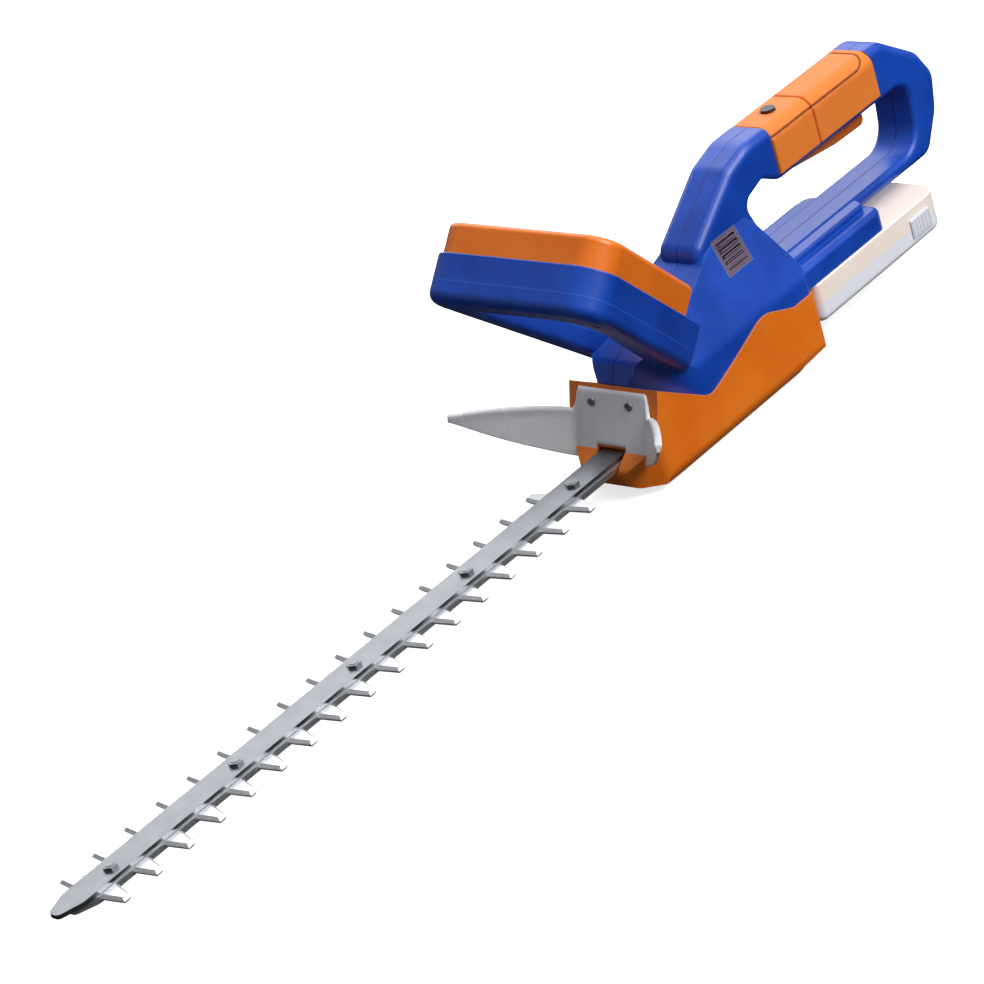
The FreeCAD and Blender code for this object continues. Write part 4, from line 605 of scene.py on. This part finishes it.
def closed_sheet(name, outer, inner, material, groove=None):
    """A closed solid between two equal grids of places; groove is one value a place."""
    rows, columns = len(outer), len(outer[0])

    def at(skin, row, column):
        return (skin * rows + row) * columns + column

    faces = []
    for row in range(rows - 1):
        for column in range(columns - 1):
            for skin in (0, 1):
                faces.append((at(skin, row, column), at(skin, row, column + 1),
                              at(skin, row + 1, column + 1), at(skin, row + 1, column)))
    border = [(0, column) for column in range(columns - 1)]
    border += [(row, columns - 1) for row in range(rows - 1)]
    border += [(rows - 1, column) for column in range(columns - 1, 0, -1)]
    border += [(row, 0) for row in range(rows - 1, 0, -1)]
    for here, there in zip(border, border[1:] + border[:1]):
        faces.append((at(0, *here), at(0, *there), at(1, *there), at(1, *here)))
    mesh = bpy.data.meshes.new(name)
    mesh.from_pydata([place for grid in (outer, inner) for row in grid for place in row], [], faces)
    shape = bmesh.new()
    shape.from_mesh(mesh)
    bmesh.ops.recalc_face_normals(shape, faces=shape.faces)
    shape.to_mesh(mesh)
    shape.free()
    mesh.materials.append(material)
    if groove:
        tint = mesh.attributes.new("groove", "FLOAT", "POINT")
        tint.data.foreach_set("value", groove + [0.0] * len(groove))
    return link_mesh(name, mesh)


def evenly(start, end, step):
    """Values from start to end in equal steps of about a given size."""
    count = max(1, round(abs(end - start) / step))
    return [start + (end - start) * index / count for index in range(count + 1)]


def through(places, value):
    """Height of a smooth curve through (place, height) pairs, which are in order."""
    last = len(places) - 1
    index = next((i for i in range(1, last) if value < places[i][0]), last)
    slopes = []
    for here in (index - 1, index):
        before, after = places[max(here - 1, 0)], places[min(here + 1, last)]
        slopes.append((after[1] - before[1]) / (after[0] - before[0]))
    (left, start), (right, end) = places[index - 1], places[index]
    wide = right - left
    share = min(max((value - left) / wide, 0.0), 1.0)
    ease = share * share * (3 - 2 * share)
    bow = share * (1 - share) * ((1 - share) * slopes[0] - share * slopes[1])
    return start + (end - start) * ease + bow * wide


def rounding(distance, radius):
    """How far a skin falls away at a distance from its rim, for a rounded rim."""
    inside = min(distance / radius, 1.0)
    return radius * (1 - math.sqrt(max(1 - (1 - inside) ** 2, 0.0)))


# %% [markdown]
# ## The soft grip pads
#
# Two pads of elastomer are moulded over the rear handle. They are saddles: over the
# top and down both sides. The rear pad carries a channel that runs back along each
# side and turns round behind the palm, and the front pad carries the two side lines
# on to its own front end. The cross-section is unrolled into one length, so the
# channel can be drawn flat as the outline of a long rounded box. The hole for the
# lock-off button is cut with a Boolean modifier, which keeps the pad one solid.

# %% Model the grip pads
CHANNEL_HALF = 22.0 * MM      # unrolled distance of the channel from the top line
CHANNEL_TURN = 13.0 * MM      # radius of its turn behind the palm
CHANNEL_BACK = 6.0 * MM       # the turn's gap to the rear end of the pad
CHANNEL_DEEP = 1.3 * MM
CHANNEL_WIDE = 1.0 * MM       # from the channel's line to its edge
PAD_STEP = 0.6 * MM
PAD_DEEP = 2.7 * MM           # thickness of a pad
PAD_RIM = 1.4 * MM            # radius of its rounded rim
PAD_CORNER = 0.55             # radius of the section's corners over its half width
BUTTON_HOLE = 5.4 * MM        # radius of the hole round the lock-off button
DRILL_LONG = 60 * MM
NO_TURN = -math.inf           # for a channel that runs straight through its pad


def saddle(half, top, corner, across):
    """Place (y, z) and normal (y, z) on a saddle at an unrolled distance from its top."""
    side = math.copysign(1.0, across)
    flat = half - corner
    run = abs(across) - flat
    if run <= 0:
        return (across, top), (0.0, 1.0)
    angle = min(run / corner, math.pi / 2)
    drop = max(run - corner * math.pi / 2, 0.0)
    return ((side * (flat + corner * math.sin(angle)), top - corner + corner * math.cos(angle) - drop),
            (side * math.sin(angle), math.cos(angle)))


def channel(x, across, turn_at):
    """1 on the channel's line and 0 beside it; turn_at is where it closes."""
    along = max(turn_at + CHANNEL_TURN - x, 0.0)
    aside = max(abs(across) - (CHANNEL_HALF - CHANNEL_TURN), 0.0)
    line = math.hypot(along, aside) - CHANNEL_TURN
    return max(1 - (line / CHANNEL_WIDE) ** 2, 0.0)


def grip_pad(name, turn_back):
    """One pad, fitted to its node's box; turn_back is the turn's gap to its rear end."""
    corner_low, corner_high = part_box(name)
    half, top, skirt = corner_high.y, corner_high.z, corner_low.z
    corner = half * PAD_CORNER
    reach = (half - corner) + corner * math.pi / 2 + (top - corner - skirt)
    outer, inner, groove = [], [], []
    for x in evenly(corner_low.x, corner_high.x, PAD_STEP):
        outer.append([])
        inner.append([])
        for across in evenly(-reach, reach, PAD_STEP):
            (y, z), (out_y, out_z) = saddle(half, top, corner, across)
            mark = channel(x, across, corner_low.x + turn_back)
            to_rim = min(x - corner_low.x, corner_high.x - x, reach - abs(across))
            dent = mark * CHANNEL_DEEP + rounding(to_rim, PAD_RIM)
            outer[-1].append((x, y - out_y * dent, z - out_z * dent))
            inner[-1].append((x, y - out_y * PAD_DEEP, z - out_z * PAD_DEEP))
            groove.append(mark)
    pad = closed_sheet(name + "_skin", outer, inner, ORANGE_TPE, groove)
    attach(pad, "housing")
    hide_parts(name)
    return pad


def drill_down(piece, place, radius):
    """Cuts a round hole straight down through a piece."""
    bpy.ops.mesh.primitive_cylinder_add(vertices=64, radius=radius, depth=DRILL_LONG, location=place)
    drill = bpy.context.object
    cut = piece.modifiers.new("hole", "BOOLEAN")
    cut.object = drill
    cut.solver = "EXACT"
    bpy.context.view_layer.update()
    shape = piece.evaluated_get(bpy.context.evaluated_depsgraph_get())
    mesh = bpy.data.meshes.new_from_object(shape)
    piece.modifiers.clear()
    piece.data = mesh
    bpy.data.objects.remove(drill)


rear_pad = grip_pad("grip_pad_rear", CHANNEL_BACK)
front_pad = grip_pad("grip_pad_front", NO_TURN)
button_low, button_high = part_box("lock_off_button")
drill_down(front_pad, (button_low + button_high) / 2, BUTTON_HOLE)
print("grip pads:", [(pad.name, len(pad.data.polygons)) for pad in (rear_pad, front_pad)])

# %% [markdown]
# ## The hand guard
#
# The guard is one moulding: a plate across the nose and two wings that sweep forward
# and up, each with a thick bead along its upper rim to keep it stiff. It could be a
# flat plate bent in two places, but the wings really curve in plan and in front view,
# so its places are worked out column by column from the middle to each tip. The two
# rims are smooth curves through a few widths and heights.

# %% Model the hand guard
# widths from the middle and heights of the rims, in millimetres
PLATE_TOP = 65
PLATE_EDGE, PLATE_FALL = 29, 3    # where the plate's top starts to drop, and over what width
NOTCH_HALF, NOTCH_SILL = 13, 31   # the notch in the lower rim that the blades come through
WING_TOP = [(31, 51), (40, 55), (60, 62), (76, 67), (92, 71)]
WING_SILL = [(13, 18), (31, 22), (50, 33), (70, 48), (92, 68)]
FACE_FOOT, FOOT_LEVEL = 95 * MM, 31 * MM   # x and z of a point on the nose's leaning face
FACE_LEAN = 0.4                            # how far the face goes back for each unit up
FACE_GAP = 1.44 * MM                       # from the face to the guard's middle skin
GUARD_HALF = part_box("hand_guard")[1].y - 1.6 * MM
GUARD_FLAT = 30 * MM                       # half width that stays flat before the wings
SWEEP, SWEEP_POWER = 64 * MM, 1.15         # how far forward the tips go, and how evenly
PLATE_HALF = 1.2 * MM
BEAD_HALF, BEAD_DEEP = 1.4 * MM, 4.0 * MM
BEAD_START = 12 * MM                       # width over which the bead grows on each wing
RIM_DRAW = 0.9                             # share of the thickness that the rims round off
GUARD_STEP = 1.0 * MM
GUARD_ROWS = 28


def guard_place(y, level):
    """x of the guard's middle skin, and its forward normal (x, y), at a width and height."""
    face = FACE_FOOT - FACE_LEAN * (level - FOOT_LEVEL) + FACE_GAP
    wing = GUARD_HALF - GUARD_FLAT
    share = max(abs(y) - GUARD_FLAT, 0.0) / wing
    slope = math.copysign(SWEEP * SWEEP_POWER * share ** (SWEEP_POWER - 1) / wing, y)
    length = math.hypot(1.0, slope)
    return face + SWEEP * share ** SWEEP_POWER, (1 / length, -slope / length)


def guard_rims(y):
    """Heights of the guard's lower and upper rims at a width."""
    width = abs(y) / MM
    sill = NOTCH_SILL if width < NOTCH_HALF else through(WING_SILL, width)
    fall = min(max(width - PLATE_EDGE, 0.0) / PLATE_FALL, 1.0)
    top = PLATE_TOP + (through(WING_TOP, max(width, WING_TOP[0][0])) - PLATE_TOP) * fall
    return sill * MM, top * MM


def hand_guard():
    """Columns of places across the guard, each with its bead and rounded rims."""
    front, back = [], []
    for y in evenly(-GUARD_HALF, GUARD_HALF, GUARD_STEP):
        sill, top = guard_rims(y)
        front.append([])
        back.append([])
        wing = min(max(abs(y) - GUARD_FLAT, 0.0) / BEAD_START, 1.0)
        for share in evenly(0.0, 1.0, 1 / GUARD_ROWS):
            level = sill + (top - sill) * share
            x, (out_x, out_y) = guard_place(y, level)
            from_rim = min(top - level, level - sill, GUARD_HALF - abs(y))
            bead = BEAD_HALF * wing * math.exp(-((top - level) / BEAD_DEEP) ** 2)
            thick = PLATE_HALF + bead - rounding(from_rim, PLATE_HALF) * RIM_DRAW
            front[-1].append((x + out_x * thick, y + out_y * thick, level))
            back[-1].append((x - out_x * thick, y - out_y * thick, level))
    guard = closed_sheet("hand_guard_moulding", front, back, MILKY_GUARD)
    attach(guard, "housing")
    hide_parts("hand_guard")
    return guard


print("guard faces:", len(hand_guard().data.polygons))

# %% [markdown]
# ## Trees that grow a row
#
# Whatever repeats at an even step is grown with Geometry Nodes, so that one number
# changes the whole row. An Array modifier could repeat it too, but a tree also tilts
# and turns the piece and can be used again for another row. The first tree sets an
# oval bar on each point of a line: it makes the louvre slats in the two air vents and
# the finger ribs on the buttons. The second repeats whatever mesh it is given at the
# tooth pitch: it makes the honed cutting edges of the two blades.

# %% Node trees
ROW_CREASE = math.radians(40)


def node_tree(name, sockets):
    """An empty Geometry Nodes tree with named inputs and one Geometry output."""
    tree = bpy.data.node_groups.new(name, "GeometryNodeTree")
    for label, kind in sockets:
        tree.interface.new_socket(label, in_out="INPUT", socket_type="NodeSocket" + kind)
    tree.interface.new_socket("Geometry", in_out="OUTPUT", socket_type="NodeSocketGeometry")
    return tree, add_node(tree, "NodeGroupInput").outputs


def repeat_along(tree, given, count, start, step, instance, turn=None):
    """Instances on a line of points, made real, given the Material input, and sent out."""
    line = add_node(tree, "GeometryNodeMeshLine", {"Count": given[count], "Offset": step,
                                                   "Start Location": start}, mode="OFFSET")
    turned = {"Rotation": turn} if turn else {}
    row = add_node(tree, "GeometryNodeInstanceOnPoints",
                   {"Points": line.outputs[0], "Instance": instance, **turned})
    solid = add_node(tree, "GeometryNodeRealizeInstances", {0: row.outputs[0]})
    painted = add_node(tree, "GeometryNodeSetMaterial", {"Geometry": solid.outputs[0],
                                                         "Material": given["Material"]})
    add_node(tree, "NodeGroupOutput", {"Geometry": painted.outputs[0]})


def bar_row_tree():
    """Oval bars in a row: Width and Depth across the bar, Length along it."""
    tree, given = node_tree("bar_row", [
        ("Count", "Int"), ("Start", "Vector"), ("Step", "Vector"), ("Length", "Float"),
        ("Width", "Float"), ("Depth", "Float"), ("Tilt", "Float"), ("Turn", "Vector"),
        ("Material", "Material")])
    bar = add_node(tree, "GeometryNodeMeshCylinder", {"Vertices": 24, "Radius": 0.5, "Depth": 1.0})
    size = add_node(tree, "ShaderNodeCombineXYZ", {0: given["Width"], 1: given["Depth"],
                                                   2: given["Length"]})
    tilt = add_node(tree, "ShaderNodeCombineXYZ", {2: given["Tilt"]})
    oval = add_node(tree, "GeometryNodeTransform", {"Geometry": bar.outputs[0], "Scale": size.outputs[0],
                                                    "Rotation": tilt.outputs[0]})
    repeat_along(tree, given, "Count", given["Start"], given["Step"], oval.outputs[0], given["Turn"])
    return tree


def tooth_row_tree():
    """Repeats the mesh it is given along the blades."""
    tree, given = node_tree("tooth_row", [("Geometry", "Geometry"), ("Teeth", "Int"), ("Pitch", "Float"),
                                          ("Material", "Material")])
    step = add_node(tree, "ShaderNodeCombineXYZ", {0: given["Pitch"]})
    repeat_along(tree, given, "Teeth", (0.0, 0.0, 0.0), step.outputs[0], given["Geometry"])
    return tree


def grow(name, tree, body, values, seed=None):
    """Runs a tree with its inputs set by name and keeps the result as a plain mesh."""
    piece = bpy.data.objects.new(name, seed or bpy.data.meshes.new(name + "_seed"))
    bpy.context.scene.collection.objects.link(piece)
    growth = piece.modifiers.new("growth", "NODES")
    growth.node_group = tree
    for item in tree.interface.items_tree:
        if item.name in values:
            growth[item.identifier] = values[item.name]
    shape = piece.evaluated_get(bpy.context.evaluated_depsgraph_get())
    mesh = bpy.data.meshes.new_from_object(shape)
    piece.modifiers.clear()
    piece.data = mesh
    mesh.polygons.foreach_set("use_smooth", [True] * len(mesh.polygons))
    mesh.set_sharp_from_angle(angle=ROW_CREASE)
    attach(piece, body)
    return piece


bar_row = bar_row_tree()
tooth_row = tooth_row_tree()
print("trees:", bar_row.name, tooth_row.name)

# %% [markdown]
# ## Louvres in the air vents
#
# The motor's fan draws air in through a slotted patch on each side. Slats inside the
# slots keep cuttings out. They are real bars, since a painted stripe would lose its
# shadow, and they are set a little under the patch's own skin, which bulges: the
# nearest place of the skin is asked for at the lowest and at the highest slat.

# %% Louvre slats in the vents
SLATS = 5
SLAT_PITCH = 4.2 * MM
FIRST_SLAT = 4.1 * MM         # height of the lowest slat above the foot of the patch
SLAT_SUNK = 2.2 * MM          # depth of a slat under the skin
SLAT_MARGIN = 3.2 * MM        # gap between a slat's end and the end of the patch
SLAT_THICK, SLAT_WIDE = 1.0 * MM, 2.6 * MM
SLAT_TILT = math.radians(35)
PROBE_BACK, PROBE_OUT = 12 * MM, 60 * MM   # a place outside, from which the skin is found


def louvres(side, name):
    """Tilted slats just under the skin of one vent."""
    vent = NODES[name]
    vent_low, vent_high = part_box(name)
    middle = (vent_low.x + vent_high.x) / 2
    first_level = vent_low.z + FIRST_SLAT
    ends = []
    for level in (first_level, first_level + SLAT_PITCH * (SLATS - 1)):
        outside = Vector((middle - PROBE_BACK, side * PROBE_OUT, level))
        skin = vent.closest_point_on_mesh(outside)[1]
        ends.append(Vector((middle, skin.y - side * SLAT_SUNK, level)))
    return grow("louvres_" + name, bar_row, "housing", {
        "Count": SLATS, "Start": ends[0], "Step": (ends[1] - ends[0]) / (SLATS - 1),
        "Length": vent_high.x - vent_low.x - 2 * SLAT_MARGIN, "Width": SLAT_THICK, "Depth": SLAT_WIDE,
        "Tilt": side * SLAT_TILT, "Turn": (0.0, math.pi / 2, 0.0), "Material": VENT_ABS})


for side, name in ((1, "vent_left"), (-1, "vent_right")):
    print("slats:", louvres(side, name).name)

# %% [markdown]
# ## Finger ribs on the release buttons
#
# The buttons that free the battery have upright ribs, so that a gloved finger does not
# slip. On the real part they are moulded with the button. Here they are the same oval
# bars as the slats, half sunk in the button's face, and they ride with the button.

# %% Finger ribs on the buttons
RIBS = 6
RIB_MARGIN = 3.0 * MM         # gap between the end ribs and the ends of the button
RIB_SHARE = 0.7               # length of a rib over the height of the button
RIB_WIDE, RIB_DEEP = 1.3 * MM, 1.0 * MM


def button_ribs(name, body, side):
    """Upright ribs on the outer face of one release button."""
    button_low, button_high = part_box(name)
    face = button_high.y if side > 0 else button_low.y
    span = button_high.x - button_low.x - 2 * RIB_MARGIN
    return grow("ribs_" + name, bar_row, body, {
        "Count": RIBS, "Start": (button_low.x + RIB_MARGIN, face, (button_low.z + button_high.z) / 2),
        "Step": (span / (RIBS - 1), 0.0, 0.0), "Length": (button_high.z - button_low.z) * RIB_SHARE,
        "Width": RIB_WIDE, "Depth": RIB_DEEP, "Tilt": 0.0, "Turn": (0.0, 0.0, 0.0),
        "Material": BUTTON_GREY})


for side, hand in ((1, "left"), (-1, "right")):
    print("ribs:", button_ribs("release_button_" + hand, "release_" + hand, side).name)

# %% [markdown]
# ## Honed edges of the blades
#
# A blade is stamped and ground, and then the bevel of every tooth is honed, which
# leaves it paler than the flat. A second material on the blade would need its faces
# picked by hand, so thin bright facets are laid over the bevels instead. One pair of
# teeth is drawn, left and right, and the tree repeats it along the blade.

# %% Honed edges of the blades
TEETH = 17
PITCH = 27.0 * MM
FIRST_TOOTH = 153.7 * MM
TOOTH_ROOT, TOOTH_FAR = 11.1 * MM, 28.0 * MM   # from the middle line of the blade
TOOTH_MIDDLE = 18 * MM
ROOT_HALF, CREST_HALF = 7.0 * MM, 3.0 * MM
CREST_LEAN = 1.5 * MM
BEVEL = 1.6 * MM
CREST_SHARE = 0.8             # how far the crest's corners draw in, over the bevel
HONED = 0.12 * MM             # thickness of a facet
# corners of each side of a box whose lower four come first
BOX_FACES = ((0, 1, 2, 3), (4, 5, 6, 7), (0, 1, 5, 4), (1, 2, 6, 5), (2, 3, 7, 6), (3, 0, 4, 7))


def tooth_outline(side, level, trim):
    """The four corners of a tooth in plan at a height, drawn in by trim."""
    crest = CREST_HALF - trim * CREST_SHARE
    corners = [(trim - ROOT_HALF, TOOTH_ROOT), (CREST_LEAN - crest, TOOTH_FAR - trim),
               (CREST_LEAN + crest, TOOTH_FAR - trim), (ROOT_HALF - trim, TOOTH_ROOT)]
    return [Vector((FIRST_TOOTH + x, side * y, level)) for x, y in corners]


def honed_pair(name, full_level, trimmed_level):
    """Thin bright facets over the ground bevels of the two teeth at one place."""
    shape = bmesh.new()
    for side in (1, -1):
        full = tooth_outline(side, full_level, 0.0)
        drawn = tooth_outline(side, trimmed_level, BEVEL)
        for index in range(3):
            quad = [full[index], full[index + 1], drawn[index + 1], drawn[index]]
            across = (quad[1] - quad[0]).cross(quad[3] - quad[0]).normalized()
            middle = sum(quad, Vector()) / 4
            outward = middle - Vector((FIRST_TOOTH + CREST_LEAN, side * TOOTH_MIDDLE, middle.z))
            across *= HONED if across.dot(outward) > 0 else -HONED
            corners = [shape.verts.new(place + shift) for shift in (Vector(), across) for place in quad]
            for face in BOX_FACES:
                shape.faces.new([corners[number] for number in face])
    bmesh.ops.recalc_face_normals(shape, faces=shape.faces)
    mesh = bpy.data.meshes.new(name)
    shape.to_mesh(mesh)
    shape.free()
    return mesh


for name, flipped in (("upper_blade", False), ("lower_blade", True)):
    blade_low, blade_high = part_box(name)
    levels = (blade_high.z, blade_low.z) if flipped else (blade_low.z, blade_high.z)
    pair = honed_pair(name + "_pair", *levels)
    edges = grow("honed_edges_" + name, tooth_row, name,
                 {"Teeth": TEETH, "Pitch": PITCH, "Material": HONED_STEEL}, pair)
    print("edges:", edges.name, len(edges.data.polygons))
